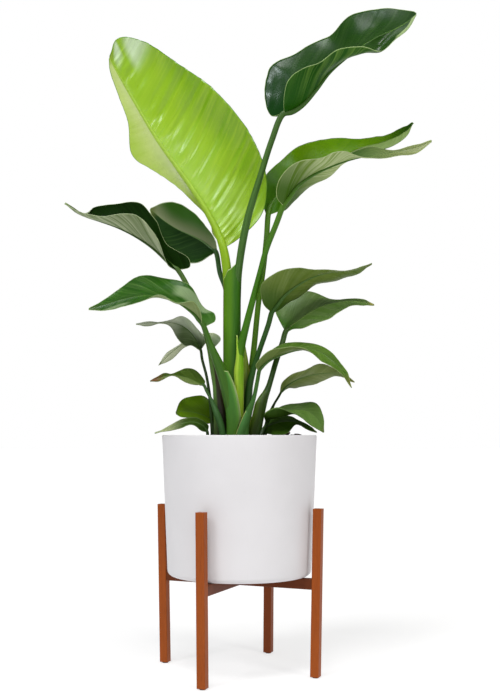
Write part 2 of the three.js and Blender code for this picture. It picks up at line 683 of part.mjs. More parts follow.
function buildStand() {
  const stand = new THREE.Group();
  stand.position.x = standShift;
  const dowelHole = toSolid(dowelGeometry(gap));
  const legLength = legTop - glideHeight - gap;
  const leg = leanOutwards(roundedBar(legSide, legSide, legLength).translate(0, 0, glideHeight + gap));
  const boredLeg = toGeometry(toSolid(leg).subtract(dowelHole));
  const glide = new THREE.CylinderGeometry(glideRadius, glideRadius, glideHeight, glideSides)
    .rotateX(Math.PI / 2).translate(legFootRadius, 0, glideHeight / 2);
  const dowel = dowelGeometry(0);
  const corners = ['front', 'right', 'back', 'left'];
  corners.forEach((corner, i) => {
    const turn = (i - 1) * (Math.PI / 2) - legTurn;
    addPiece(stand, `leg_${corner}`, turnedCopy(boredLeg, turn), 'wood');
    addPiece(stand, `glide_${corner}`, turnedCopy(glide, turn), 'rubber');
    addPiece(stand, `dowel_${corner}`, turnedCopy(dowel, turn), 'dowel');
  });
  const innerFace = legRadiusAt(railTop - railHeight) - legSide / 2;
  const railLength = 2 * (innerFace - gap);
  const rail = roundedBar(railHeight, railWidth, railLength)
    .translate(0, 0, -railLength / 2).rotateY(Math.PI / 2).translate(0, 0, railMiddle);
  const lap = new THREE.BoxGeometry(railWidth + 2 * gap, railWidth + lapExtra, railHeight / 2 + gap);
  const boredRail = toSolid(rail)
    .subtract(dowelHole)
    .subtract(toSolid(dowelGeometry(gap).rotateZ(Math.PI)));
  const lapDrop = railHeight / 4;
  const lapUnder = toSolid(lap.clone().translate(0, 0, railMiddle - lapDrop));
  const lapOver = toSolid(lap.clone().translate(0, 0, railMiddle + lapDrop));
  const upperRail = toGeometry(boredRail.subtract(lapUnder));
  const lowerRail = toGeometry(boredRail.subtract(lapOver));
  addPiece(stand, 'rail_upper', turnedCopy(upperRail, -legTurn - Math.PI / 2), 'wood');
  addPiece(stand, 'rail_lower', turnedCopy(lowerRail, -legTurn), 'wood');
  return stand;
}

function buildPlant() {
  let soil = toSolid(soilGeometry());
  for (const [name, { foot }] of Object.entries(stalks)) {
    const { sides, steps } = foot > thickFoot ? thickRod : thinRod;
    addPiece(plant, `stalk_${name}`, stalkGeometry(name, sides, steps), 'stalk');
    soil = soil.subtract(toSolid(stalkGeometry(name, sides, steps, gap)));
  }
  for (const name of Object.keys(blades)) {
    const halfSteps = largeBlades.includes(name) ? bladeSteps.large : bladeSteps.small;
    const finish = name === 'tall_new' ? 'leafNew' : 'leafDark';
    addPiece(plant, `leaf_${name}`, bladeGeometry(name, halfSteps, bladeSteps.perStation), finish);
  }
  addPiece(plant, 'soil', toGeometry(soil), 'soil');
  addPiece(plant, 'pot', potGeometry(), 'ceramic');
}

buildPlant();
plant.add(buildStand());

// The whole stands with the middle of its box's floor at the origin
const box = new THREE.Box3().setFromObject(plant);
const centre = box.getCenter(new THREE.Vector3());
plant.position.set(-centre.x, -centre.y, -box.min.z);

export default plant;
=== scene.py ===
import math
import random

import bpy
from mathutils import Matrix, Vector, noise


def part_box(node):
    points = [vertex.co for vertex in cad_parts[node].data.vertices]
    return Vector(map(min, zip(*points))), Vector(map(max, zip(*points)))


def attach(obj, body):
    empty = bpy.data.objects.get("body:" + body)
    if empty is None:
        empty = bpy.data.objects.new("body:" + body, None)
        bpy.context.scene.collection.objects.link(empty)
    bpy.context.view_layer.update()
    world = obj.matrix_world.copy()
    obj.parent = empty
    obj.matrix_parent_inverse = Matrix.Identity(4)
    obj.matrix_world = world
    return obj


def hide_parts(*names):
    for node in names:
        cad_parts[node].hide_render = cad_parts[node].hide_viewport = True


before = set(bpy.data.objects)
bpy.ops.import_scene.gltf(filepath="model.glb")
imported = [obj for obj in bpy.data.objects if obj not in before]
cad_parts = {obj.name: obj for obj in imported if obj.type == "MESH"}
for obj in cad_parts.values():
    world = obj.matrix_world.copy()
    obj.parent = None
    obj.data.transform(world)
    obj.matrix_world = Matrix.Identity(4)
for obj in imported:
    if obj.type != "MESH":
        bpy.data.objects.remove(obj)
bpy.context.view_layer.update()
potLow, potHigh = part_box("pot")
potAxis = Vector(((potLow.x + potHigh.x) / 2, (potLow.y + potHigh.y) / 2, 0))
rimHeight = potHigh.z
mm = 0.001
random.seed(7)
print("frame loaded")

# the eye that looks at the plant, from the pot's axis in mm; plant points are given as it sees them
eye = {"across": 20.8, "distance": 1926, "height": 465}


def tone(red, green, blue):  # a colour as seen on screen, 0 to 255, made linear
    def linear(value):
        value /= 255
        return value / 12.92 if value <= 0.04045 else ((value + 0.055) / 1.055) ** 2.4
    return (linear(red), linear(green), linear(blue), 1)


def smooth(low, high, value):
    step = min(1, max(0, (value - low) / (high - low)))
    return step * step * (3 - 2 * step)


def blendOf(first, second, share):
    return first + (second - first) * share


def deselectAll():
    if bpy.context.object and bpy.context.object.mode != "OBJECT":
        bpy.ops.object.mode_set(mode="OBJECT")
    bpy.ops.object.select_all(action="DESELECT")


def makeActive(piece):
    deselectAll()
    piece.select_set(True)
    bpy.context.view_layer.objects.active = piece


def addModifier(piece, kind, **settings):
    makeActive(piece)
    modifier = piece.modifiers.new(kind.title(), kind)
    for key, value in settings.items():
        setattr(modifier, key, value)
    bpy.ops.object.modifier_apply(modifier=modifier.name)


def smoothShade(piece, angle=None):
    makeActive(piece)
    if angle is None:
        bpy.ops.object.shade_smooth()
    else:
        bpy.ops.object.shade_smooth_by_angle(angle=math.radians(angle))


def cleanMesh(piece, mergeWithin=None, closeEnds=False):  # welds, closes and turns all faces outwards
    makeActive(piece)
    bpy.ops.object.mode_set(mode="EDIT")
    bpy.ops.mesh.select_all(action="SELECT")
    if mergeWithin:
        bpy.ops.mesh.remove_doubles(threshold=mergeWithin)
    if closeEnds:
        bpy.ops.mesh.fill_holes(sides=0)
        bpy.ops.mesh.select_all(action="SELECT")
    bpy.ops.mesh.normals_make_consistent(inside=False)
    bpy.ops.object.mode_set(mode="OBJECT")


def joinPieces(main, others):
    deselectAll()
    for other in others:
        other.select_set(True)
    main.select_set(True)
    bpy.context.view_layer.objects.active = main
    bpy.ops.object.join()
    return main


def finishPiece(piece, node):
    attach(piece, "root")
    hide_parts(node)


# shader groups shared by several materials, and short names for the nodes that they are wired from


class NodeMaker:
    def __init__(self, tree, material=None):
        self.tree = tree
        self.material = material

    def node(self, kind, **values):
        made = self.tree.nodes.new(kind)
        for key, value in values.items():
            setattr(made, key, value)
        return made

    def plug(self, value, socket):
        if isinstance(value, bpy.types.NodeSocket):
            self.tree.links.new(value, socket)
        else:
            socket.default_value = value

    def wire(self, kind, values, output=0, **settings):  # a node with its inputs filled, by name or place
        made = self.node(kind, **settings)
        for key, value in values.items():
            self.plug(value, made.inputs[key])
        return made.outputs[output]

    def math(self, operation, *values):
        return self.wire("ShaderNodeMath", dict(enumerate(values)), operation=operation)

    def product(self, first, *others):
        for other in others:
            first = self.math("MULTIPLY", first, other)
        return first

    def ramp(self, value, low, high, fromLow=0.0, fromHigh=1.0):  # smooth step between two values
        ends = {"Value": value, "From Min": low, "From Max": high, "To Min": fromLow, "To Max": fromHigh}
        return self.wire("ShaderNodeMapRange", ends, "Result", interpolation_type="SMOOTHSTEP")

    def tint(self, colour, other, *shares):  # lays another seen colour over this one, by the shares' product
        mixed = {0: self.product(*shares), 6: colour, 7: tone(*other)}
        return self.wire("ShaderNodeMix", mixed, 2, data_type="RGBA", blend_type="MIX")

    def noise(self, vector, scale, detail=3.0, roughness=0.55):
        values = {"Vector": vector, "Scale": scale, "Detail": detail, "Roughness": roughness}
        return self.wire("ShaderNodeTexNoise", values, "Fac")

    def point(self, *parts):
        return self.wire("ShaderNodeCombineXYZ", dict(enumerate(parts)))

    def stretched(self, vector, scale, turn=(0, 0, 0)):
        return self.wire("ShaderNodeMapping", {"Vector": vector, "Scale": scale, "Rotation": turn}, "Vector")

    def attribute(self, name):
        return self.node("ShaderNodeAttribute", attribute_name=name).outputs["Fac"]

    def objectPoint(self):
        return self.node("ShaderNodeTexCoord").outputs["Object"]

    def place(self, group, **values):
        made = self.node("ShaderNodeGroup", node_tree=group)
        for key, value in values.items():
            self.plug(value, made.inputs[key])
        return made.outputs

    def mottle(self, scale, point=None):
        return self.place(mottleGroup, Point=self.objectPoint() if point is None else point, Scale=scale)

    def finish(self, colour, roughness, gloss=0.5, bump=None):  # bump: height, strength, distance
        inputs = self.tree.nodes["Principled BSDF"].inputs
        self.plug(colour, inputs["Base Color"])
        self.plug(roughness, inputs["Roughness"])
        self.plug(gloss, inputs["Specular IOR Level"])
        if bump:
            values = dict(zip(("Height", "Strength", "Distance"), bump))
            self.plug(self.wire("ShaderNodeBump", values, "Normal"), inputs["Normal"])
        return self.material


def newMaterial(name):
    material = bpy.data.materials.new(name)
    material.use_nodes = True
    return NodeMaker(material.node_tree, material)


def newGroup(name, inputs, outputs):
    group = bpy.data.node_groups.new(name, "ShaderNodeTree")
    for label, value in inputs.items():
        kind = "NodeSocketVector" if isinstance(value, tuple) else "NodeSocketFloat"
        group.interface.new_socket(name=label, in_out="INPUT", socket_type=kind).default_value = value
    for label in outputs:
        group.interface.new_socket(name=label, in_out="OUTPUT", socket_type="NodeSocketFloat")
    maker = NodeMaker(group)
    return maker, maker.node("NodeGroupInput").outputs, maker.node("NodeGroupOutput").inputs


def makeVeinGroup():  # side veins that leave the midrib and sweep towards the tip
    inputs = {"Along": 0, "Across": 0, "Spacing": 0.008, "Sweep": 0.5}
    maker, start, end = newGroup("sideVeins", inputs, ("Vein", "Fine", "Band"))
    reach = maker.math("ABSOLUTE", start["Across"])
    along = maker.math("SUBTRACT", start["Along"], maker.product(reach, start["Sweep"]))
    point = maker.point(along, maker.product(reach, 0.06), maker.math("SIGN", start["Across"]))
    crowd = maker.math("DIVIDE", 1.0, start["Spacing"])
    maker.plug(maker.ramp(maker.noise(point, crowd, 2.0), 0.5, 0.68), end["Vein"])
    maker.plug(maker.noise(point, maker.product(crowd, 4.0), 2.0), end["Fine"])
    maker.plug(maker.ramp(maker.noise(point, maker.product(crowd, 0.3), 2.0), 0.38, 0.64), end["Band"])
    return maker.tree


def makeMottleGroup():  # soft uneven tone over a surface
    maker, start, end = newGroup("softMottle", {"Point": (0, 0, 0), "Scale": 20}, ("Broad", "Specks"))
    maker.plug(maker.ramp(maker.noise(start["Point"], start["Scale"], 3.0), 0.32, 0.68), end["Broad"])
    fine = maker.noise(start["Point"], maker.product(start["Scale"], 14.0), 2.0, 0.6)
    maker.plug(maker.ramp(fine, 0.62, 0.75), end["Specks"])
    return maker.tree


def makeGrainGroup():  # wood grain that runs along the stretched direction of the point given
    maker, start, end = newGroup("woodGrain", {"Point": (0, 0, 0)}, ("Figure", "Pores"))
    rings = maker.math("SINE", maker.product(maker.noise(start["Point"], 1.0, 5.0, 0.62), 34.0))
    maker.plug(maker.math("MULTIPLY_ADD", rings, 0.5, 0.5), end["Figure"])
    maker.plug(maker.ramp(maker.noise(start["Point"], 5.5, 3.0, 0.7), 0.55, 0.72), end["Pores"])
    return maker.tree


def makeStreakGroup():  # thin streaks that run up a stalk, from its length and the turn around it
    maker, start, end = newGroup("stalkStreaks", {"Along": 0, "Around": 0}, ("Streak",))
    point = maker.point(maker.math("COSINE", start["Around"]), maker.math("SINE", start["Around"]),
                        maker.product(start["Along"], 3.0))
    broad, fine = maker.noise(point, 3.0, 2.0), maker.noise(point, 14.0, 3.0, 0.7)
    both = maker.math("MULTIPLY_ADD", fine, 0.5, maker.product(broad, 0.5))
    maker.plug(maker.ramp(both, 0.4, 0.62), end["Streak"])
    return maker.tree


veinGroup = makeVeinGroup()
mottleGroup = makeMottleGroup()
grainGroup = makeGrainGroup()
streakGroup = makeStreakGroup()
print("shader groups made")

leafSettings = {  # what a leaf has unless its own row says otherwise, in mm; shares run along it from 0 to 1
    "slot": "leaf_dark", "grid": (40, 130), "ripple": 1.4, "rippleLength": 70, "pleat": 0.35, "pleatLeft": 1,
    "pleatSpacing": 10, "pleatSweep": 1.0, "dent": 6, "waver": 1.6, "veinSpacing": 5.0, "veinSweep": 1.0,
    "mottle": 12.0, "edge": 1.3, "tip": (90, 100, 50), "tipFrom": 0.9, "tipTo": 1.0, "ribThinning": 1.8,
    "ribSunk": 0.85, "cupping": 0.16, "sheathEase": 0.16,
}
faceSettings = {"bands": 0.2, "lines": 0.28, "ribWidth": 1.2, "roughness": 0.34, "tipDull": 0.0, "bump": 0.3,
                "gloss": 0.16}
stalkSettings = {"rib": (90, 122, 60), "streak": (40, 76, 20), "speck": (60, 52, 26), "footTo": 0.35,
                 "roughness": 0.36}
sheathSettings = {"facing": -90, "half": 178, "rim": ((-1, 1), (1, 1)), "turnAt": 0.0, "footShare": 0.7,
                  "edgeWidth": 2.0, "rimFrom": 0.8}


def leaf(**own):
    return dict(leafSettings, **own)


def face(main, shade, vein, rib, **own):  # one side of a blade, its colours as seen
    return dict(faceSettings, tone=main, shade=shade, vein=vein, rib=rib, **own)


def underside(*colours, **own):
    return face(*colours, **dict({"roughness": 0.5}, **own))


def stalkLook(foot, middle, top, **own):
    return dict(stalkSettings, foot=foot, middle=middle, top=top, **own)


def sheath(stations, **own):  # a station is across, depth, height, half width and half depth
    return dict(sheathSettings, stations=stations, **own)


# a route point is across, depth and height; a blade row is one for the midrib, the left and the right margin
leaves = {
    "tall_new": leaf(
        foot=9.1, top=8.3, sheath=0.88, slot="leaf_new", grid=(70, 240), shift=0.4, pleat=3.4, pleatLeft=0.25,
        pleatSpacing=17, ripple=0.5, rippleLength=110, waver=0.4, dent=8, pleatSweep=0.5,
        # its dark margin band is painted shade of the edge that curls back
        margin=(92, 142, 36), tip=(144, 172, 50), ribThinning=0.95, ribSunk=0.62, veinSpacing=6.0,
        veinSweep=0.5,
        route=((-22.4, 7, 455), (-22.4, 7, 600), (-22.4, 7, 740), (-26, 7, 800)),
        blade=(
            (-33, 8, 838, -37, 9, 839, -28, 7, 837), (-44, 14, 864, -51, 50, 864, -6, 22, 850),
            (-63, 24, 902, -74, 92, 905, 44, 30, 900), (-92, 36, 948, -116, 120, 952, 52, 24, 985),
            (-127, 49, 998, -166, 134, 985, 14, 22, 1072), (-165, 60, 1052, -213, 132, 1020, -46, 26, 1147),
            (-200, 68, 1110, -221, 118, 1085, -120, 36, 1199),
            (-228, 68, 1158, -244, 94, 1148, -188, 46, 1244),
            (-246, 62, 1190, -256, 70, 1186, -240, 50, 1251),
            (-258, 56, 1212, -259, 58, 1210, -257, 54, 1216),
        ),
        above=face((186, 212, 92), (172, 204, 76), (160, 194, 44), (156, 192, 62), right=(132, 177, 6),
                   # glow is a painted sheen beside the midrib, on the left half
                   outer=(112, 158, 8), outerFrom=66, outerTo=130, glow=(200, 216, 138), glowReach=78,
                   glowSide=-1, glowShare=0.75, base=(156, 190, 56),
                   # the pale patches near the tip are painted highlights
                   patches=((0.77, 0.865, 38, 88), (0.86, 0.94, 10, 28)), patchTone=(222, 238, 214),
                   baseTo=0.16, lines=0.4, bands=0.25, ribWidth=0.6, gloss=0.36, roughness=0.27, edge=1.8,
                   bump=0.3),
        below=underside((165, 190, 80), (148, 178, 66), (186, 204, 100), (170, 194, 80), lines=0.5),
        stalk=stalkLook((80, 100, 30), (130, 166, 30), (144, 180, 28), rib=(164, 198, 70),
                        streak=(112, 156, 16))),
    "top_right": leaf(
        foot=8, top=6.2, sheath=0.66, grid=(56, 160), shift=1.1, pleatSweep=1.3, tip=(40, 80, 30),
        margin=(150, 178, 110), veinSweep=1.4, bulge=((0, 1, 0), (0.36, 0.86, 0.55)),
        route=((-6, 17, 455), (-6, 17, 640), (-4.8, 10, 745), (-2, 0, 794), (14, -14, 887), (41, -29, 978),
               (64, -36, 1050)),
        blade=(
            (85, -40, 1100, 82, -38, 1101, 89, -42, 1099), (102, -42, 1108, 62, -4, 1098, 88, -62, 1120),
            (124, -44, 1122, 51, 18, 1128, 93, -80, 1160), (150, -46, 1150, 58, 32, 1192, 118, -90, 1187),
            (177, -48, 1184, 118, 40, 1226, 160, -93, 1206), (207, -50, 1210, 178, 42, 1257, 198, -92, 1230),
            (240, -50, 1234, 222, 38, 1297, 240, -86, 1233), (275, -48, 1255, 270, 26, 1305, 276, -78, 1225),
            (308, -46, 1270, 312, 6, 1309, 304, -68, 1246), (332, -45, 1284, 338, -18, 1308, 330, -58, 1266),
            (350, -44, 1299, 350, -42, 1301, 350, -46, 1297),
        ),
        above=face((30, 68, 8), (22, 58, 8), (74, 104, 50), (130, 172, 60), base=(12, 54, 14), baseTo=0.5,
                   bands=0.15, lines=0.2, ribWidth=4.4, gloss=0.14, tipDull=0.3, roughness=0.24, bump=0.08,
                   flap=(146, 168, 112)),
        below=underside((26, 76, 2), (20, 66, 2), (104, 140, 56), (110, 146, 70), base=(26, 78, 2),
                        baseTo=0.42, tip=(150, 172, 118), tipFrom=0.75, bands=0.35, lines=0.5, roughness=0.4,
                        gloss=0.12),
        stalk=stalkLook((56, 94, 28), (72, 110, 46), (68, 102, 42), rib=(60, 100, 30)),
        wrap=sheath(((-14.9, 11.5, 440, 17.2, 14.8), (-14.9, 11, 600, 17.2, 14.4), (-14.9, 9, 700, 17.2, 13),
                     (-14.6, 7.4, 750, 17.2, 11.8), (-13.8, 6, 806, 17.4, 10.2)),
                    # the lighter left tone is a painted highlight and the darker right tone painted shade
                    left=(78, 124, 10), right=(46, 96, 14), leftRim=(112, 104, 34), rightRim=(50, 76, 16),
                    foot=(44, 98, 4), edge=(176, 190, 128), streak=(70, 120, 18), half=180,
                    rim=((-1, 0.93), (-0.5, 0.83), (-0.32, 0.87), (-0.1, 0.935), (0.12, 0.985),
                          (0.5, 1), (1, 0.93)),
                    footTo=0.26, edgeWidth=2.4, turnAt=0.05)),
    "right_upper": leaf(
        foot=8, top=5.6, sheath=0.45, grid=(52, 150), shift=2.3, pleatSweep=1.2, tip=(118, 136, 76),
        margin=(164, 180, 120), veinSpacing=7.0, veinSweep=1.3,
        route=((-6, -7, 455), (-2.4, -10, 559), (3.2, -15, 638), (13.4, -20, 683), (39.4, -31, 782),
               (53, -37, 832), (73.5, -43, 885)),
        blade=(
            (86, -46, 918, 81, -44, 908, 88, -48, 917), (96, -48, 936, 94, -8, 914, 73, -68, 938),
            (112, -50, 958, 120, 8, 940, 78, -88, 970), (140, -53, 979, 152, 14, 962, 118, -98, 1007),
            (175, -56, 996, 186, 14, 985, 162, -100, 1013), (215, -58, 1010, 216, 10, 1020, 204, -95, 1030),
            (255, -58, 1019, 255, -2, 1032, 246, -88, 1015), (300, -56, 1025, 302, -24, 1031, 300, -78, 1018),
            (345, -54, 1034, 346, -40, 1041, 346, -66, 1023),
            (381, -52, 1048, 380, -51, 1050, 381, -53, 1046),
        ),
        above=face((40, 96, 14), (30, 82, 12), (70, 116, 36), (110, 140, 74), tip=(132, 142, 88),
                   tipFrom=0.42),
        below=underside((132, 152, 78), (110, 134, 60), (196, 206, 162), (56, 84, 26), right=(114, 138, 62),
                        base=(46, 84, 2), baseTo=0.46, bands=0.5, lines=0.6, gloss=0.03),
        stalk=stalkLook((128, 176, 24), (56, 106, 6), (72, 112, 24), rib=(60, 92, 26), footTo=0.32,
                        streak=(60, 110, 10)),
        wrap=sheath(((1.5, -9, 440, 6, 7), (0.5, -10, 500, 7.5, 8), (-0.5, -12, 555, 9, 8.6),
                     (-1, -13, 590, 9.9, 9), (0.4, -14.5, 622, 7, 7), (-3.4, -16, 640, 2.4, 4),
                     (-5, -17, 662, 0.7, 1)),
                    # the pale left tone and left rim are a painted highlight, the darker right tone painted
                    # shade
                    left=(164, 198, 62), right=(90, 146, 0), leftRim=(170, 186, 90), rightRim=(84, 140, 8),
                    foot=(176, 196, 56), edge=(196, 210, 120), streak=(140, 184, 40), facing=-110, half=100,
                    footTo=0.19, turnAt=-0.1)),
    "right_rear": leaf(
        foot=6.6, top=5.6, sheath=0.3, grid=(50, 140), shift=3.2, waver=2.4, tip=(140, 160, 100),
        margin=(120, 150, 70),
        route=((16, 31, 455), (20, 31, 560), (28.2, 31, 633), (38.2, 34, 732), (46.5, 38, 790),
               (53.5, 40, 855)),
        blade=(
            (57, 42, 903, 52, 43, 905, 62, 41, 902), (62, 46, 924, 42, 72, 932, 84, 30, 914),
            (86, 52, 950, 48, 88, 972, 97, 26, 944), (124, 56, 978, 84, 98, 1010, 132, 26, 974),
            (165, 60, 1000, 138, 100, 1045, 171, 28, 998), (210, 62, 1017, 196, 95, 1054, 213, 32, 1022),
            (262, 60, 1028, 250, 82, 1052, 262, 40, 1041), (302, 56, 1038, 295, 70, 1063, 303, 42, 1053),
            (332, 50, 1059, 325, 58, 1076, 331, 42, 1069), (343, 46, 1084, 342, 47, 1085, 345, 45, 1083),
        ),
        above=face((132, 188, 8), (112, 170, 4), (148, 192, 34), (110, 150, 40), base=(44, 90, 0),
                   baseTo=0.55, tip=(40, 84, 18), tipFrom=0.5, gloss=0.07),
        below=underside((130, 158, 84), (112, 142, 70), (160, 180, 116), (110, 138, 70)),
        stalk=stalkLook((20, 40, 6), (78, 120, 16), (74, 116, 22), rib=(70, 110, 20), streak=(56, 96, 12)),
        wrap=sheath(((13, 20, 440, 12, 12), (12.5, 20, 520, 11, 11), (12.5, 22, 580, 9, 9.5),
                     (11.5, 24, 612, 5.5, 7), (10.5, 25, 641, 0.9, 1.4)),
                    left=(124, 152, 24), right=(110, 136, 24), leftRim=(120, 148, 24),
                    rightRim=(150, 124, 50), foot=(18, 34, 4), edge=(160, 140, 64), streak=(100, 124, 20),
                    footTo=0.15, footShare=0.95)),
    "left_upper": leaf(
        foot=7.8, top=5, sheath=0.5, grid=(48, 140), shift=4.0, pleatSweep=1.3, margin=(160, 176, 130),
        tip=(120, 140, 90), edge=1.2, veinSpacing=7.0, veinSweep=1.5,
        route=((-38.5, -5, 455), (-42, 4, 534), (-49, 10, 584), (-58, 14, 634), (-72, 17, 683),
               (-104, 20, 762)),
        blade=(
            (-122, 20, 792, -125, 18, 791, -118, 22, 793), (-131, 20, 801, -139, 2, 799, -99, 38, 796),
            (-147, 21, 816, -153, -12, 828, -101, 50, 814), (-171, 22, 837, -171, -22, 868, -142, 58, 843),
            (-203, 22, 858, -198, -24, 897, -166, 62, 890), (-240, 20, 876, -240, -22, 903, -200, 58, 926),
            (-278, 16, 889, -276, -16, 897, -250, 48, 921), (-304, 11, 897, -300, -8, 901, -286, 30, 917),
            (-324, 7, 906, -322, -4, 910, -304, 12, 904), (-346, 2, 924, -347, 1, 923, -345, 3, 926),
        ),
        above=face((12, 38, 0), (8, 28, 0), (20, 52, 6), (40, 70, 20), gloss=0.02, roughness=0.5),
        below=underside((100, 120, 70), (80, 100, 52), (174, 182, 148), (50, 66, 26), bands=0.6, lines=0.6),
        stalk=stalkLook((60, 70, 30), (90, 128, 48), (74, 102, 42), rib=(56, 78, 28)),
        wrap=sheath(((-38, -2, 440, 13.3, 11), (-38, -1, 480, 13, 10.5), (-40.5, 2, 530, 11, 9.5),
                     (-44.5, 6, 570, 9, 8.5), (-51, 11, 612, 6.6, 7)),
                    left=(92, 130, 56), right=(50, 42, 28), leftRim=(84, 122, 54), rightRim=(36, 28, 22),
                    foot=(44, 38, 26), edge=(90, 92, 50), streak=(54, 62, 32),
                    rim=((-1, 0.96), (-0.2, 1), (0.5, 0.93), (1, 0.96)), turnAt=-0.25, footTo=0.08,
                    edgeWidth=1.0)),
    "left_rear": leaf(
        foot=6, top=5, sheath=0.5, grid=(44, 110), shift=5.1, margin=(184, 198, 160), edge=1.9,
        route=((-26, 34, 455), (-23, 36, 600), (-22.5, 42, 700), (-27, 50, 752), (-38.5, 58, 785)),
        blade=(
            (-47, 66, 828, -49, 64, 826, -44, 68, 830), (-56, 72, 836, -60, 54, 821, -47, 88, 848),
            (-73, 81, 849, -86, 56, 809, -66, 104, 878), (-96, 91, 861, -122, 68, 811, -94, 122, 908),
            (-121, 100, 872, -147, 84, 836, -122, 132, 923), (-147, 107, 888, -165, 94, 868, -150, 130, 924),
            (-177, 120, 913, -178, 119, 911, -176, 121, 915),
        ),
        above=face((20, 54, 8), (14, 42, 6), (58, 92, 36), (120, 140, 90), right=(54, 98, 26), bands=0.12,
                   # glow is a painted grey sheen beside the midrib, on the right half
                   lines=0.25, gloss=0.03, roughness=0.5, glow=(130, 136, 106), glowReach=42, glowSide=1,
                   glowShare=0.9),
        below=underside((72, 100, 40), (58, 86, 30), (104, 130, 68), (110, 136, 70)),
        stalk=stalkLook((50, 84, 30), (54, 92, 40), (54, 90, 44))),
    "left_front": leaf(
        foot=11.5, top=5.2, sheath=0.62, grid=(48, 140), shift=6.3, tip=(58, 84, 26), margin=(140, 164, 100),
        route=((-10, -31, 455), (-11.5, -31, 485), (-20.5, -32, 534), (-33, -36, 584), (-52.9, -43, 633),
               (-62, -46, 658)),
        blade=(
            (-71, -50, 681, -74, -52, 681, -66, -48, 681), (-78, -53, 694, -77, -64, 700, -49, -32, 690),
            (-86, -55, 704, -83, -76, 717, -50, -18, 703), (-97, -57, 713, -92, -85, 730, -67, -6, 713),
            (-120, -60, 728, -124, -94, 730, -98, 2, 762), (-152, -63, 738, -157, -98, 741, -150, 8, 777),
            (-190, -66, 741, -190, -98, 733, -198, 4, 781), (-228, -68, 735, -228, -92, 719, -236, -14, 756),
            (-265, -70, 724, -264, -82, 712, -270, -44, 733),
            (-299, -70, 715, -299, -71, 713, -298, -69, 717),
        ),
        above=face((34, 86, 0), (26, 72, 0), (104, 140, 68), (110, 150, 60), base=(60, 104, 34), baseTo=0.3,
                   bands=0.12, lines=0.3, gloss=0.22, roughness=0.3,
                   # the pale patches are painted highlights on the upper side
                   patches=((0.26, 0.5, 32, 68), (0.76, 0.9, -22, -12)), patchTone=(152, 172, 130)),
        below=underside((124, 140, 84), (104, 122, 66), (160, 172, 128), (80, 110, 40)),
        stalk=stalkLook((76, 116, 22), (62, 104, 24), (64, 104, 28), rib=(68, 108, 28)),
        wrap=sheath(((-15.5, -31, 440, 9, 10), (-14.7, -31, 465, 10.2, 11), (-11.8, -31, 499, 14.2, 12),
                     (-17.2, -32, 540, 13.8, 11.5), (-22.5, -34, 565, 12, 10), (-29.2, -37, 588, 8.2, 7.6),
                     (-36.5, -39, 606, 5.9, 6)),
                    # the pale right rim is a painted highlight down the sheath's edge
                    left=(58, 112, 34), right=(84, 138, 50), leftRim=(60, 110, 36), rightRim=(172, 194, 130),
                    foot=(74, 116, 26), edge=(184, 202, 134), streak=(50, 100, 28), facing=168, half=174,
                    rim=((-1, 0.78), (-0.8, 0.86), (-0.6, 0.9), (1, 0.86)), footTo=0.1, edgeWidth=1.8,
                    turnAt=0.3, rimFrom=0.5)),
    "right_dull": leaf(
        foot=7, top=5.2, sheath=0.4, shift=7.4, margin=(120, 138, 80),
        route=((15, 6, 455), (18, 4, 550), (26, 2, 590), (39.8, -3, 633), (57.3, -7, 684)),
        blade=(
            (64, -8, 708, 66, -6, 707, 62, -10, 709), (72, -10, 722, 80, 12, 716, 46, -28, 727),
            (87, -12, 741, 100, 26, 733, 43, -44, 764), (109, -14, 759, 128, 32, 746, 70, -56, 787),
            (136, -16, 775, 156, 32, 764, 118, -58, 798), (166, -18, 785, 192, 24, 769, 162, -50, 790),
            (200, -20, 790, 214, 10, 780, 200, -40, 792), (235, -22, 793, 238, -10, 787, 236, -32, 796),
            (262, -24, 804, 262, -23, 803, 262, -25, 806),
        ),
        above=face((52, 82, 24), (40, 68, 20), (80, 108, 44), (90, 116, 44)),
        below=underside((98, 118, 46), (74, 98, 30), (128, 144, 86), (44, 60, 16), base=(54, 84, 18),
                        baseTo=0.35, roughness=0.45),
        stalk=stalkLook((36, 70, 20), (40, 82, 26), (50, 86, 28))),
    "right_bright": leaf(
        foot=10.6, top=5.4, sheath=0.4, shift=8.2, tip=(176, 160, 84), margin=(130, 150, 84),
        route=((31.5, -9, 455), (36, -8, 490), (46, -6, 532), (57.5, -3, 560), (72, 4, 609), (85, 12, 648)),
        blade=(
            (92, 16, 671, 90, 18, 672, 94, 14, 670), (100, 18, 680, 78, 42, 692, 108, 0, 674),
            (117, 21, 693, 72, 60, 714, 126, -12, 676), (140, 24, 709, 96, 72, 744, 149, -18, 684),
            (165, 26, 721, 136, 70, 748, 173, -16, 696), (192, 27, 728, 180, 58, 736, 199, -6, 709),
            (222, 27, 731, 220, 44, 735, 226, 10, 721), (248, 26, 727, 246, 34, 734, 249, 18, 720),
            (267, 24, 723, 267, 25, 724, 267, 23, 722),
        ),
        above=face((94, 120, 62), (72, 104, 38), (124, 146, 96), (150, 176, 96), right=(94, 130, 56),
                   ribWidth=2.8, base=(56, 104, 14), baseTo=0.3, bands=0.25, lines=0.35),
        below=underside((112, 140, 66), (96, 124, 52), (146, 166, 98), (110, 140, 60)),
        stalk=stalkLook((46, 66, 14), (48, 76, 20), (64, 92, 34)),
        wrap=sheath(((26, -9, 440, 10.5, 10.5), (28, -9, 475, 10.8, 10.5), (35, -9, 500, 10.8, 10.5),
                     (42, -8, 529, 10.3, 9.5), (49.5, -6, 546, 7, 7), (55, -4, 556, 3, 3)),
                    left=(66, 92, 14), right=(46, 70, 10), leftRim=(140, 126, 44), rightRim=(40, 60, 10),
                    foot=(40, 56, 10), edge=(150, 136, 60), streak=(52, 76, 12), facing=0, half=170,
                    rim=((-1, 0.8), (-0.85, 0.95), (-0.6, 1), (1, 0.95)), footTo=0.05, edgeWidth=2.0)),
    "arching": leaf(
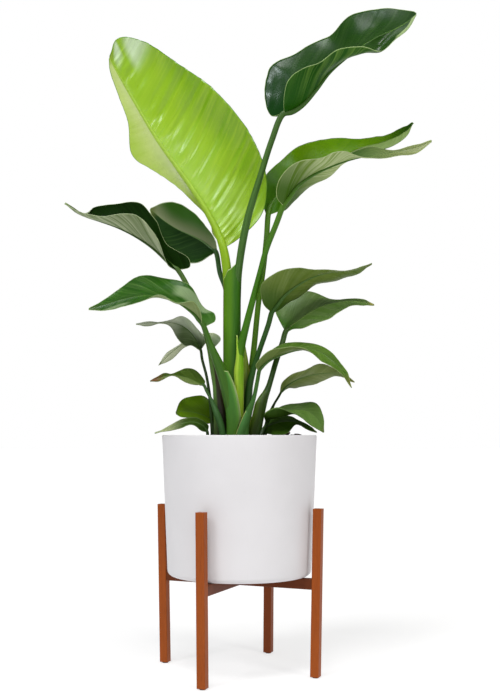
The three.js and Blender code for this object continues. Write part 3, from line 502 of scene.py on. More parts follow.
        foot=7.8, top=4, sheath=0.5, shift=9.5, tip=(110, 104, 54), margin=(130, 150, 84),
        route=((10.2, -36, 455), (12, -36, 485), (18, -37, 510), (27.5, -39, 535), (35, -40, 570)),
        blade=(
            (39, -40, 592, 41, -38, 592, 36, -42, 592), (43, -41, 601, 50, -24, 606, 33, -50, 603),
            (58, -42, 614, 49, -6, 626, 52, -62, 624), (85, -44, 626, 88, 0, 645, 80, -67, 637),
            (115, -45, 634, 122, 2, 650, 112, -68, 640), (145, -46, 634, 152, -4, 646, 146, -66, 624),
            (175, -47, 620, 184, -16, 626, 176, -60, 604), (200, -48, 596, 206, -32, 598, 198, -56, 587),
            (222, -48, 559, 223, -47, 559, 221, -49, 560),
        ),
        above=face((74, 108, 30), (58, 92, 22), (112, 140, 66), (120, 146, 60)),
        below=underside((96, 116, 54), (80, 100, 40), (128, 146, 84), (96, 120, 50), roughness=0.45),
        stalk=stalkLook((64, 110, 44), (58, 106, 40), (60, 96, 30)),
        wrap=sheath(((0, -37, 440, 10, 8), (2.5, -37, 467, 9.6, 8), (9, -37, 487, 9.2, 8),
                     (15.5, -38, 508, 6, 6), (20, -38, 522, 2, 3)),
                    left=(70, 122, 56), right=(56, 104, 40), leftRim=(186, 190, 116), rightRim=(50, 90, 34),
                    foot=(70, 110, 50), edge=(190, 190, 120), streak=(54, 104, 40), facing=-42, half=108,
                    footTo=0.04, edgeWidth=2.2)),
    "right_small": leaf(
        foot=4.5, top=2.4, sheath=0.4, grid=(32, 90), shift=10.2, tip=(120, 110, 60), margin=(134, 144, 84),
        route=((48, 40, 455), (56, 40, 495), (68, 31, 525), (77, 17, 540)),
        blade=(
            (82, 8, 549, 84, 9, 549, 80, 7, 550), (89, 5, 559, 97, 18, 560, 83, -6, 567),
            (105, 0, 571, 112, 26, 560, 102, -23, 585), (132, -1, 582, 142, 32, 563, 136, -28, 597),
            (160, -2, 587, 168, 26, 574, 162, -24, 604), (188, -3, 588, 191, 12, 581, 190, -14, 595),
            (210, -4, 582, 211, 2, 578, 211, -8, 586), (228, -5, 570, 228, -4, 569, 228, -6, 571),
        ),
        above=face((116, 136, 42), (94, 118, 32), (122, 144, 66), (130, 146, 70)),
        below=underside((100, 116, 54), (84, 102, 42), (134, 146, 88), (90, 108, 48)),
        stalk=stalkLook((40, 60, 16), (46, 70, 18), (50, 76, 22))),
    "right_low": leaf(
        foot=4.2, top=3, sheath=0.4, grid=(30, 80), shift=11.7, margin=(96, 124, 60),
        bulge=((0, 1, 0), (-0.1, 0.6, 1.0)),
        route=((40, -30, 455), (46, -23, 474), (52, -12, 485)),
        blade=(
            (54, -6, 490, 56, -5, 490, 52, -8, 490), (61, -8, 500, 60, 8, 505, 50, -22, 507),
            (80, -10, 510, 84, 22, 519, 76, -36, 520), (108, -12, 516, 118, 28, 527, 104, -44, 512),
            (136, -13, 511, 150, 20, 528, 132, -40, 493), (156, -14, 494, 165, 4, 505, 152, -28, 480),
            (167, -15, 470, 168, -14, 471, 166, -16, 470),
        ),
        above=face((94, 126, 56), (76, 110, 42), (108, 138, 70), (110, 140, 60)),
        below=underside((50, 80, 16), (36, 62, 10), (60, 88, 26), (60, 88, 28), roughness=0.45, gloss=0.1),
        stalk=stalkLook((26, 36, 8), (28, 44, 10), (34, 54, 14))),
    "right_lowest": leaf(
        foot=4, top=3, sheath=0.4, grid=(28, 70), shift=12.3, margin=(96, 128, 50),
        route=((38, 20, 440), (41, 19, 455), (43, 17, 463)),
        blade=(
            (46, 16, 470, 45, 18, 471, 48, 14, 469), (56, 14, 482, 56, 32, 496, 58, -4, 468),
            (78, 11, 490, 78, 36, 502, 78, -16, 466), (100, 8, 492, 104, 30, 500, 97, -14, 470),
            (116, 5, 489, 118, 14, 494, 113, -4, 484), (135, 2, 482, 136, 8, 485, 134, -4, 478),
            (153, 0, 470, 154, 1, 471, 152, -1, 470),
        ),
        above=face((66, 104, 18), (50, 86, 12), (76, 112, 30), (86, 120, 40), gloss=0.08, roughness=0.45),
        below=underside((60, 92, 20), (46, 76, 14), (76, 104, 34), (80, 110, 40), gloss=0.08),
        stalk=stalkLook((24, 34, 8), (28, 40, 10), (30, 46, 12))),
    "left_grey": leaf(
        foot=4.5, top=2.8, sheath=0.3, grid=(30, 90), shift=13.1, margin=(150, 164, 128),
        route=((-52, 4, 455), (-56.5, 8, 520), (-65, 18, 580), (-74, 26, 615)),
        blade=(
            (-77, 28, 634, -79, 26, 633, -75, 30, 635), (-84, 28, 650, -95, 13, 642, -67, 44, 652),
            (-98, 28, 670, -109, 0, 642, -86, 58, 678), (-115, 27, 682, -124, -4, 662, -112, 60, 699),
            (-138, 26, 688, -140, 8, 680, -136, 46, 694), (-160, 25, 688, -160, 19, 686, -160, 31, 690),
            (-182, 24, 687, -182, 16, 683, -182, 32, 690), (-205, 23, 685, -205, 22, 684, -205, 24, 686),
        ),
        above=face((92, 112, 68), (66, 88, 42), (146, 160, 128), (168, 180, 150), right=(172, 182, 162),
                   base=(56, 80, 34), baseTo=0.3, tip=(216, 220, 206), tipFrom=0.36, tipTo=0.58, bands=0.3,
                   lines=0.45),
        below=underside((104, 126, 74), (88, 110, 58), (136, 152, 106), (90, 110, 60), tip=(192, 198, 178),
                        tipFrom=0.4, tipTo=0.62),
        stalk=stalkLook((40, 60, 20), (48, 70, 26), (56, 76, 34))),
    "left_pale": leaf(
        foot=5, top=3, sheath=0.4, grid=(30, 80), shift=14.4, margin=(180, 190, 150),
        route=((-42, 48, 455), (-43, 53, 560), (-48, 57, 615)),
        blade=(
            (-51, 58, 638, -53, 56, 637, -49, 60, 639), (-57, 60, 650, -63, 48, 643, -37, 70, 655),
            (-73, 62, 656, -80, 44, 645, -52, 84, 668), (-97, 64, 653, -100, 42, 641, -90, 88, 662),
            (-122, 65, 639, -124, 48, 623, -121, 82, 646), (-142, 65, 622, -143, 55, 611, -143, 75, 629),
            (-160, 64, 604, -161, 63, 603, -160, 65, 605),
        ),
        above=face((220, 226, 194), (204, 214, 170), (214, 220, 192), (160, 176, 110), base=(116, 138, 100),
                   baseTo=0.5),
        below=underside((190, 198, 160), (172, 184, 136), (200, 206, 176), (160, 176, 120)),
        stalk=stalkLook((60, 90, 30), (70, 104, 36), (100, 130, 60))),
    "left_thin": leaf(
        foot=6.8, top=3, sheath=0.5, grid=(28, 80), shift=15.8, tip=(128, 58, 44), tipFrom=0.8,
        margin=(110, 120, 60),
        route=((-31, -26, 455), (-37, -26.5, 485), (-46, -26, 510), (-57, -24, 537), (-65, -23, 552)),
        blade=(
            (-71, -22, 564, -73, -23, 563, -69, -21, 565), (-80, -22, 568, -84, -32, 562, -68, -12, 572),
            (-94, -22, 575, -98, -40, 567, -88, 0, 592), (-112, -22, 581, -114, -38, 574, -107, 2, 595),
            (-134, -22, 584, -134, -27, 581, -134, -17, 587),
            (-150, -22, 581, -150, -30, 577, -150, -10, 589),
            (-177, -24, 572, -177, -25, 571, -177, -23, 573),
        ),
        above=face((118, 138, 76), (104, 126, 62), (100, 122, 58), (84, 110, 40), right=(58, 86, 8)),
        below=underside((90, 110, 50), (74, 96, 38), (118, 134, 76), (100, 120, 56)),
        stalk=stalkLook((60, 104, 50), (54, 94, 44), (54, 84, 30))),
    "left_round": leaf(
        foot=4.5, top=3, sheath=0.4, grid=(30, 70), shift=16.2, margin=(90, 120, 50),
        route=((-54, 32, 440), (-53, 33, 470), (-52, 34, 483)),
        blade=(
            (-52, 34, 492, -54, 32, 490, -50, 36, 494), (-62, 32, 500, -62, 16, 489, -58, 48, 530),
            (-82, 28, 508, -84, 4, 492, -73, 56, 543), (-102, 24, 512, -104, 4, 497, -100, 50, 541),
            (-116, 20, 512, -118, 10, 501, -117, 34, 531), (-126, 17, 508, -126, 16, 507, -126, 18, 510),
        ),
        above=face((102, 140, 2), (78, 116, 0), (102, 138, 20), (90, 130, 40)),
        below=underside((60, 96, 20), (46, 82, 14), (84, 118, 40), (80, 110, 40)),
        stalk=stalkLook((40, 66, 20), (46, 76, 20), (50, 84, 20))),
    "left_lowest": leaf(
        foot=4, top=3, sheath=0.4, grid=(28, 70), shift=17.9, tip=(180, 188, 140), tipFrom=0.5,
        margin=(120, 140, 90),
        route=((-60, -14, 440), (-62, -14, 455), (-63, -14, 464)),
        blade=(
            (-64, -14, 472, -66, -16, 471, -62, -12, 474), (-72, -16, 484, -76, -28, 475, -62, -2, 484),
            (-90, -20, 491, -94, -36, 484, -84, -2, 497), (-115, -25, 488, -118, -38, 479, -112, -8, 497),
            (-142, -30, 478, -141, -38, 474, -142, -20, 482),
            (-168, -34, 469, -168, -35, 468, -168, -33, 470),
        ),
        above=face((54, 84, 12), (40, 66, 6), (78, 104, 38), (116, 138, 78), base=(36, 62, 14), baseTo=0.4),
        below=underside((60, 84, 32), (48, 72, 22), (80, 104, 46), (76, 98, 40)),
        stalk=stalkLook((36, 60, 20), (40, 66, 20), (36, 60, 16))),
}


def seenPoint(point):  # carries a point from the plane through the pot's axis to its own depth
    across, depth, height = point
    spread = (eye["distance"] + depth) / eye["distance"]
    return Vector((
        eye["across"] + (across - eye["across"]) * spread,
        depth,
        eye["height"] + (height - eye["height"]) * spread,
    ))


class SmoothLine:  # a curve through points, eased by the distances between them
    def __init__(self, points):
        self.points = [seenPoint(point) for point in points]

    def at(self, t):
        points = self.points
        place = (len(points) - 1) * min(1, max(0, t))
        first = min(int(place), len(points) - 2)
        share = place - first
        here, there = points[first], points[first + 1]
        before = points[first - 1] if first > 0 else here * 2 - there
        after = points[first + 2] if first + 2 < len(points) else there * 2 - here
        gaps = [max((b - a).length ** 0.5, 1e-3) for a, b in ((before, here), (here, there), (there, after))]
        leave = ((here - before) / gaps[0] - (there - before) / (gaps[0] + gaps[1])
                 + (there - here) / gaps[1]) * gaps[1]
        arrive = ((there - here) / gaps[1] - (after - here) / (gaps[1] + gaps[2])
                  + (after - there) / gaps[2]) * gaps[1]
        square, cube = share * share, share * share * share
        return (here * (2 * cube - 3 * square + 1) + leave * (cube - 2 * square + share)
                + there * (3 * square - 2 * cube) + arrive * (cube - square))

    def direction(self, t):
        low, high = max(0, t - 1e-4), min(1, t + 1e-4)
        return (self.at(high) - self.at(low)).normalized()


leafSteps = 200  # for the length along a midrib


class LeafForm:  # one leaf's spine and margins, read by its stalk and by its blade
    def __init__(self, own):
        self.own = own
        ribs, lefts, rights = ([row[i:i + 3] for row in own["blade"]] for i in (0, 3, 6))
        self.spine = SmoothLine(list(own["route"]) + ribs)
        self.joint = len(own["route"]) / (len(own["route"]) + len(ribs) - 1)
        self.left, self.right = SmoothLine(lefts), SmoothLine(rights)
        self.rows = {}
        self.lengths = [0]
        points = [self.rowAt(i / leafSteps)[0] for i in range(leafSteps + 1)]
        for a, b in zip(points, points[1:]):
            self.lengths.append(self.lengths[-1] + (b - a).length)
        self.baseUp = self.upAt(0.12)

    def rowAt(self, t):  # midrib, its direction, left and right margin
        key = round(t, 6)
        if key not in self.rows:
            along = self.joint + t * (1 - self.joint)
            self.rows[key] = (self.spine.at(along), self.spine.direction(along),
                              self.left.at(t), self.right.at(t))
        return self.rows[key]

    def alongAt(self, t):  # millimetres along the midrib
        place = min(1, max(0, t)) * leafSteps
        first = min(int(place), leafSteps - 1)
        return blendOf(self.lengths[first], self.lengths[first + 1], place - first)

    def upAt(self, t):
        rib, ahead, left, right = self.rowAt(t)
        return (right - left).cross(ahead).normalized()

    def surfaceAt(self, s, t):  # s runs from the left margin at -1 to the right one at 1
        rib, ahead, left, right = self.rowAt(t)
        margin = left if s < 0 else right
        across = margin - rib
        width = max(across.length, 1e-6)
        down = across.cross(ahead)
        if s >= 0:
            down.negate()
        down.normalize()
        cup = self.own["cupping"]
        if "bulge" in self.own:
            low, high, most = self.own["bulge"][0 if s < 0 else 1]
            cup += most * smooth(low, blendOf(low, high, 0.5), t) * smooth(high, blendOf(low, high, 0.5), t)
        bend = rib + across * 0.5 + down * (cup * width)
        share = abs(s)
        point = rib * (1 - share) ** 2 + bend * (2 * share * (1 - share)) + margin * share ** 2
        return point, width

    def normalAt(self, s, t, step):
        ahead = self.surfaceAt(s, min(1, t + step))[0] - self.surfaceAt(s, max(0, t - step))[0]
        low, high = (max(-1, s - 0.1), min(0, s + 0.1)) if s < 0 else (max(0, s - 0.1), min(1, s + 0.1))
        across = self.surfaceAt(high, t)[0] - self.surfaceAt(low - 1e-9 if s < 0 else low, t)[0]
        return across.cross(ahead).normalized()

    def stalkAt(self, t):  # centre, direction and radius of the stalk, t from the soil to the blade
        own = self.own
        centre, along = self.spine.at(self.joint * t), self.spine.direction(self.joint * t)
        narrowing = smooth(own["sheath"] - own["sheathEase"], own["sheath"] + own["sheathEase"], t)
        return centre, along, blendOf(own["foot"], own["top"], narrowing)


def growGrid(name, columns, rows, placeAt):  # placeAt: a corner's place in mm, and the values it carries
    deselectAll()
    bpy.ops.mesh.primitive_grid_add(x_subdivisions=columns, y_subdivisions=rows, size=1, location=(0, 0, 0))
    piece = bpy.context.object
    piece.name = piece.data.name = name
    flat, kept = [], {}
    for vertex in piece.data.vertices:
        point, values = placeAt(vertex.co.x, vertex.co.y)
        flat += [point.x * mm + potAxis.x, point.y * mm + potAxis.y, point.z * mm]
        for key, value in values.items():
            kept.setdefault(key, []).append(value)
    piece.data.vertices.foreach_set("co", flat)
    for key, numbers in kept.items():  # for the materials to read
        piece.data.attributes.new(key, "FLOAT", "POINT").data.foreach_set("value", numbers)
    piece.data.update()
    return piece


bladeForm = {"thickness": 0.9, "rippleRise": 1.6, "creaseDepth": 2.4, "dentScale": 0.014, "waverLength": 17}


def growSheet(name, form, own, paints):  # the thin blade itself, thickened downwards
    columns, rows = own["grid"]
    shift, length = own["shift"], form.lengths[-1]

    def placeAt(x, y):
        s, t = 2 * x, min(1, max(0, y + 0.5))
        point, width = form.surfaceAt(s, t)
        rib, ahead = form.rowAt(t)[:2]
        normal = form.normalAt(s, t, 1 / rows)
        side = 1 if s > 0 else -1
        offset = point - rib
        forward = offset.dot(ahead)
        reach = (offset - ahead * forward).length
        along = form.alongAt(t) + forward
        window = smooth(0, 0.12, t) * smooth(0, 0.1, 1 - t)
        ripple = own["ripple"] * abs(s) ** bladeForm["rippleRise"] * window * math.sin(
            along / own["rippleLength"] * 2 * math.pi + side * 1.3 + shift)
        vein = along - own["pleatSweep"] * reach
        crease = noise.noise(Vector((vein / own["pleatSpacing"], side * 5, shift)))
        pleat = own["pleat"] * (own["pleatLeft"] if s < 0 else 1)
        pleat = pleat * (1 - bladeForm["creaseDepth"] * abs(crease))
        pleat = pleat * window * smooth(0.04, 0.3, abs(s)) * (1.1 - 0.6 * t)
        dent = noise.noise(point * bladeForm["dentScale"] + Vector((shift, 0, 0)))
        dent = dent * own["dent"] * window * abs(s)
        waver = noise.noise(Vector((along / bladeForm["waverLength"], side * 3, shift)))
        waver = waver * own["waver"] * window * abs(s) ** 4
        fromEdge = max(0, min((1 - abs(s)) * width, (length - form.alongAt(t)) * 1.2 + 0.4))
        return (point + normal * (ripple + pleat + dent) + offset.normalized() * waver,
                {"along": along * mm, "across": side * reach * mm, "fromEdge": fromEdge * mm, "share": t})

    piece = growGrid("blade_" + name, columns, rows, placeAt)
    for paint in paints:
        piece.data.materials.append(paint)
    addModifier(piece, "SOLIDIFY", thickness=bladeForm["thickness"] * mm, offset=-1, use_rim=True,
                material_offset=1, material_offset_rim=2)
    smoothShade(piece)
    return piece


tubeForm = {"groove": 0.16, "grooveWidth": 0.45, "ribSides": 14, "ribRows": 80, "ribTip": 0.45,
            "stalkSides": 20, "stalkRows": 60, "buriedTo": 421, "soilAt": 450, "ribFrom": 600}
weldWithin = 0.00001


def rollTube(name, sides, rings, paint):  # a ring has its centre, along, up, radius, sunk, place and share
    def placeAt(x, y):
        turn = 2 * math.pi * x
        ring = rings[round((y + 0.5) * (len(rings) - 1))]
        sideways = ring["along"].cross(ring["up"]).normalized()
        up = sideways.cross(ring["along"]).normalized()
        groove = tubeForm["groove"] * math.exp(-((math.pi - abs(turn)) / tubeForm["grooveWidth"]) ** 2)
        size = ring["radius"] * (1 - groove)
        drop = math.cos(turn) * size + ring["sunk"]
        point = ring["centre"] + sideways * (math.sin(turn) * size) - up * drop
        return point, {"along": ring["place"] * mm, "around": turn, "share": ring["share"]}

    piece = growGrid(name, sides, len(rings) - 1, placeAt)
    cleanMesh(piece, weldWithin, closeEnds=True)
    piece.data.materials.append(paint)
    smoothShade(piece, 50)
    return piece


def growRib(name, form, own, paint):  # the midrib, a rod that goes on from the stalk
    rings, rows, tip = [], tubeForm["ribRows"], tubeForm["ribTip"]
    for i in range(rows + 1):
        t = i / rows
        rib, ahead = form.rowAt(t)[:2]
        radius = (own["top"] - tip) * (1 - t) ** own["ribThinning"] + tip
        up = form.baseUp.lerp(form.upAt(min(0.97, max(0.05, t))), smooth(0, 0.15, t))
        rings.append({"centre": rib, "along": ahead, "up": up, "radius": radius, "share": 1 + t,
                      "sunk": radius * own["ribSunk"] * smooth(0, 0.14, t),
                      "place": tubeForm["ribFrom"] + form.alongAt(t)})
    return rollTube("rib_" + name, tubeForm["ribSides"], rings, paint)


def growStalk(name, form, paint):
    rings, rows = [], tubeForm["stalkRows"]
    for i in range(rows + 1):
        centre, along, radius = form.stalkAt(i / rows)
        rings.append({"centre": centre, "along": along, "up": form.baseUp, "radius": radius, "sunk": 0,
                      "place": centre.z - tubeForm["soilAt"], "share": i / rows})
    foot = rings[0]["centre"]
    buried = dict(rings[0], centre=Vector((foot.x, foot.y, tubeForm["buriedTo"])))
    return rollTube("stalk_" + name, tubeForm["stalkSides"], [buried] + rings, paint)


def rimShare(rim, s):  # how high the sheath's rim stands at one place around it
    for (low, first), (high, second) in zip(rim, rim[1:]):
        if s <= high:
            return blendOf(first, second, smooth(low, high, s))
    return rim[-1][1]


sheathForm = {"columns": 48, "rows": 60, "squareness": 0.82, "thickness": 0.7, "closedFrom": 179}


def wrapSheath(wrap, paint):  # a thin leaf base that wraps one or more stalks
    stations, half = wrap["stations"], math.radians(wrap["half"])
    line = SmoothLine([station[:3] for station in stations])
    last = len(stations) - 1
    height = stations[-1][2] - stations[0][2]

    def placeAt(x, y):
        s, row = 2 * x, y + 0.5
        top = rimShare(wrap["rim"], s)
        t = row * top
        first = min(int(t * last), last - 1)
        here, there = stations[first], stations[first + 1]
        across, depth = (blendOf(here[i], there[i], t * last - first) for i in (3, 4))
        turn = math.radians(wrap["facing"]) + s * half
        cosine, sine = math.cos(turn), math.sin(turn)
        offset = Vector((math.copysign(abs(cosine) ** sheathForm["squareness"] * across, cosine),
                         math.copysign(abs(sine) ** sheathForm["squareness"] * depth, sine), 0))
        centre = line.at(t)
        fromEdge = (1 - row) * top * height * 0.7
        if wrap["half"] < sheathForm["closedFrom"]:  # an open sheath has side edges too
            fromEdge = min(fromEdge, (1 - abs(s)) * half * across)
        return centre + offset, {"along": (centre.z - tubeForm["soilAt"]) * mm, "around": turn, "share": t,
                                 "fromEdge": fromEdge * mm}

    piece = growGrid("sheath", sheathForm["columns"], sheathForm["rows"], placeAt)
    piece.data.materials.append(paint)
    cleanMesh(piece, weldWithin)
    addModifier(piece, "SOLIDIFY", thickness=sheathForm["thickness"] * mm, offset=0, use_rim=True)
    smoothShade(piece)
    return piece


faceForm = {"midrib": 0.8, "patchSoft": 0.03, "patchNear": 9, "patchFar": 3, "flapWidth": 15, "flapFrom": 0.8}


def leafMaterial(name, look, own):  # one side of a blade
    maker = newMaterial(name)
    across, share, fromEdge = (maker.attribute(key) for key in ("across", "share", "fromEdge"))
    veins = maker.place(veinGroup, Along=maker.attribute("along"), Across=across,
                        Spacing=own["veinSpacing"] * mm, Sweep=own["veinSweep"])
    mottle = maker.mottle(own["mottle"])
    onRight = maker.ramp(across, -faceForm["midrib"] * mm, faceForm["midrib"] * mm)
    reach = maker.math("ABSOLUTE", across)
    colour = maker.tint(tone(*look["tone"]), look["shade"], mottle["Broad"])
    if "right" in look:
        colour = maker.tint(colour, look["right"], onRight, 0.9)
    if "outer" in look:  # the right half's darker outer part
        outer = maker.ramp(reach, look["outerFrom"] * mm, look["outerTo"] * mm)
        colour = maker.tint(colour, look["outer"], onRight, outer)
    colour = maker.tint(colour, look["vein"], veins["Band"], look["bands"])
    colour = maker.tint(colour, look["vein"], veins["Vein"], look["lines"])
    if "glow" in look:  # a painted sheen: a pale band beside the midrib, on one half
        half = onRight if look["glowSide"] > 0 else maker.math("SUBTRACT", 1.0, onRight)
        band = maker.ramp(reach, look["glowReach"] * mm, 0.0, 0.0, look["glowShare"])
        colour = maker.tint(colour, look["glow"], half, band)
    soft, nearSoft, farSoft = faceForm["patchSoft"], faceForm["patchNear"], faceForm["patchFar"]
    for low, high, near, far in look.get("patches", ()):  # painted highlights: pale patches, by share and mm across
        colour = maker.tint(
            colour, look["patchTone"],
            maker.ramp(share, low - soft, low + soft), maker.ramp(share, high + 0.02, high - soft),
            maker.ramp(across, (near - nearSoft) * mm, (near + nearSoft) * mm),
            maker.ramp(across, (far + farSoft) * mm, (far - farSoft) * mm),
            maker.math("MULTIPLY_ADD", veins["Fine"], 0.5, 0.35))
    if "base" in look:
        low = maker.ramp(share, look["baseTo"], look["baseTo"] * 0.35, 0.0, 0.9)
        colour = maker.tint(colour, look["base"], low)
    ribWidth = maker.math("MULTIPLY_ADD", maker.math("SUBTRACT", 1.0, share), look["ribWidth"] * mm, 0.0006)
    colour = maker.tint(colour, look["rib"], maker.ramp(maker.math("DIVIDE", reach, ribWidth), 1.0, 0.7))
    tip, tipFrom, tipTo = (look.get(key, own[key]) for key in ("tip", "tipFrom", "tipTo"))
    colour = maker.tint(colour, tip, maker.ramp(share, tipFrom, tipTo))
    if "flap" in look:  # the turned-over margin near the tip
        flapEdge, flapFrom = faceForm["flapWidth"], faceForm["flapFrom"]
        flap = maker.ramp(fromEdge, (flapEdge + 0.5) * mm, (flapEdge - 0.5) * mm)
        colour = maker.tint(colour, look["flap"], flap, onRight, maker.ramp(share, flapFrom, flapFrom + 0.04))
    edge = look.get("edge", own["edge"])
    colour = maker.tint(colour, own["margin"], maker.ramp(fromEdge, edge * mm, edge * 0.35 * mm))
    dull = maker.math("MULTIPLY_ADD", mottle["Broad"], 0.12, look["roughness"] - 0.06)
    dull = maker.math("ADD", dull, maker.ramp(share, 0.7, 0.9, 0.0, look["tipDull"]))
    return maker.finish(colour, maker.math("MULTIPLY_ADD", veins["Fine"], 0.05, dull), look["gloss"],
                        (veins["Vein"], look["bump"], 0.0004))


def marginMaterial(name, colour):
    maker = newMaterial(name)
    faded = tuple(value * 0.8 for value in colour)
    return maker.finish(maker.tint(tone(*colour), faded, maker.mottle(60.0)["Broad"]), 0.5)


def stalkMaterial(name, look):
    maker = newMaterial(name)
    around, along, share = (maker.attribute(key) for key in ("around", "along", "share"))
    streak = maker.place(streakGroup, Along=along, Around=around)["Streak"]
    colour = maker.tint(tone(*look["foot"]), look["middle"], maker.ramp(share, 0.0, look["footTo"]))
    colour = maker.tint(colour, look["top"], maker.ramp(share, 0.55, 1.0))
    colour = maker.tint(colour, look["rib"], maker.ramp(share, 1.0, 1.5))
    colour = maker.tint(colour, look["streak"], streak, 0.55)
    colour = maker.tint(colour, look["speck"], maker.mottle(30.0)["Specks"], 0.3)
    return maker.finish(colour, maker.math("MULTIPLY_ADD", streak, 0.15, look["roughness"]), 0.2,
                        (streak, 0.25, 0.0003))


def sheathMaterial(name, look):
    maker = newMaterial(name)
    around, along = maker.attribute("around"), maker.attribute("along")
    streak = maker.place(streakGroup, Along=along, Around=around)["Streak"]
    cosine = maker.math("COSINE", around)
    # tones by the turn around the sheath, for its two sides and rims; on the top_right, right_upper and
    # left_front sheaths the lighter side or pale rim is a painted highlight and the darker side painted
    # shade, while brown and yellow rims are the sheath's own colour
    turned = maker.ramp(cosine, look["turnAt"] - 0.2, look["turnAt"] + 0.2)
    colour = maker.tint(tone(*look["left"]), look["right"], turned)
    colour = maker.tint(colour, look["leftRim"], maker.ramp(cosine, -0.85, -0.99))
    colour = maker.tint(colour, look["rightRim"], maker.ramp(cosine, look["rimFrom"], 0.98))
    colour = maker.tint(colour, look["foot"], maker.ramp(along, look["footTo"], 0.0), look["footShare"])
    colour = maker.tint(colour, look["streak"], streak, 0.4)
    colour = maker.tint(colour, look["foot"], maker.mottle(40.0)["Specks"], 0.25)
    edge = maker.ramp(maker.attribute("fromEdge"), look["edgeWidth"] * mm, look["edgeWidth"] * 0.3 * mm)
    colour = maker.tint(colour, look["edge"], edge)
    return maker.finish(colour, maker.math("MULTIPLY_ADD", streak, 0.12, 0.36), 0.2, (streak, 0.25, 0.0003))


def growLeaf(name, own):
    form = LeafForm(own)
    paints = [leafMaterial(name + side, own[side.lower()], own) for side in ("Above", "Below")]
    paints.append(marginMaterial(name + "Margin", own["margin"]))
    stalkPaint = stalkMaterial(name + "Stalk", own["stalk"])
    rib = growRib(name, form, own, stalkPaint)
    blade = joinPieces(growSheet(name, form, own, paints), [rib])
    finishPiece(blade, "leaf_" + name)
    stalk = growStalk(name, form, stalkPaint)
    if "wrap" in own:
        strip = wrapSheath(own["wrap"], sheathMaterial(name + "Sheath", own["wrap"]))
        stalk = joinPieces(stalk, [strip])
    finishPiece(stalk, "stalk_" + name)


for leafName, ownLook in leaves.items():
    growLeaf(leafName, ownLook)
print("leaves and stalks grown")

potShape = {"footRadius": 142.2, "footHeight": 190, "footRounding": 10, "flatInset": 12, "rimRadius": 152.5,
            "rimRounding": 3, "wall": 8, "floor": 10, "footSteps": 6, "wallSteps": 12, "rimSteps": 5,
            "sides": 160}


def potProfile():  # radius and height in mm, from the foot's flat, over the rim and down to the inner floor
    shape = potShape
    foot, low, rounding = shape["footRadius"], shape["footHeight"], shape["footRounding"]
    rim, ease = rimHeight / mm, shape["rimRounding"]
    points = [(foot - rounding - shape["flatInset"], low)]
    for i in range(shape["footSteps"] + 1):
        angle = math.radians(-90 + 90 / shape["footSteps"] * i)
        points.append((foot - rounding * (1 - math.cos(angle)), low + rounding * (1 + math.sin(angle))))
    for i in range(1, shape["wallSteps"]):
        share = i / shape["wallSteps"]
        points.append((blendOf(foot, shape["rimRadius"], share), blendOf(low + rounding, rim - ease, share)))
    outer, inner = shape["rimRadius"] - ease, shape["rimRadius"] - shape["wall"] + ease
    for centre, start in ((outer, 0), (inner, 90)):
        for i in range(shape["rimSteps"] + 1):
            angle = math.radians(start + 90 / shape["rimSteps"] * i)
            points.append((centre + ease * math.cos(angle), rim - ease * (1 - math.sin(angle))))
    points.append((foot - shape["wall"], low + shape["floor"]))
    return points


def potMaterial():
    maker = newMaterial("whiteCeramic")
    point = maker.objectPoint()
    scuffs = maker.mottle(22.0, maker.stretched(point, (1, 1, 0.3)))
    colour = maker.tint(tone(216, 214, 216), (211, 209, 211), maker.mottle(6.0, point)["Broad"])
    colour = maker.tint(colour, (196, 194, 192), scuffs["Specks"], 0.12)
    return maker.finish(colour, maker.math("MULTIPLY_ADD", scuffs["Broad"], 0.08, 0.46),
                        bump=(maker.noise(point, 260.0), 0.12, 0.0004))


def turnPot():
    profile = potProfile()
    deselectAll()
    bpy.ops.mesh.primitive_circle_add(
        vertices=potShape["sides"], radius=profile[0][0] * mm, fill_type="TRIFAN",
        location=(potAxis.x, potAxis.y, profile[0][1] * mm))
    pot = bpy.context.object
    pot.name = "white_pot"
    bpy.ops.object.mode_set(mode="EDIT")
    bpy.ops.mesh.select_all(action="SELECT")
    for (radius, height), (nextRadius, nextHeight) in zip(profile, profile[1:]):
        bpy.ops.mesh.extrude_region_move(TRANSFORM_OT_translate={"value": (0, 0, (nextHeight - height) * mm)})
        share = nextRadius / radius
        bpy.ops.transform.resize(value=(share, share, 1),
                                 center_override=(potAxis.x, potAxis.y, nextHeight * mm))
    cleanMesh(pot)
    bpy.ops.object.transform_apply(location=True, rotation=True, scale=True)
    smoothShade(pot, 40)
    pot.data.materials.append(potMaterial())
    finishPiece(pot, "pot")


turnPot()
print("pot turned")

soilShape = {  # in mm; for crumbs and chips, how many, the smallest and the largest
    "edgeRadius": 143.4, "height": 454, "bottom": 330, "taper": 0.985, "grid": (110, 110), "wave": 3,
    "lumps": 3.0, "lumpScale": 0.09, "fineLumps": 2.5, "fineScale": 0.3,
    "moundHeight": 12, "moundAcross": 92, "moundDepth": 52, "moundReach": 42,
    "crumbs": (420, 1.3, 3.4), "chips": (46, 4, 8), "spread": 141, "keepWithin": 142, "sunk": 0.25,
}


def soilHeightAt(x, y):
    shape = soilShape
    away = math.hypot(x - shape["moundAcross"], y - shape["moundDepth"]) / shape["moundReach"]
    wave = shape["wave"] * math.sin(x * 0.083 + 0.6) * math.cos(y * 0.071 - 0.4)
    rough = (noise.noise(Vector((x, y, 3)) * shape["lumpScale"]) * shape["lumps"]
             + noise.noise(Vector((x, y, 9)) * shape["fineScale"]) * shape["fineLumps"])
    return shape["height"] + wave + rough + shape["moundHeight"] * math.exp(-away * away)


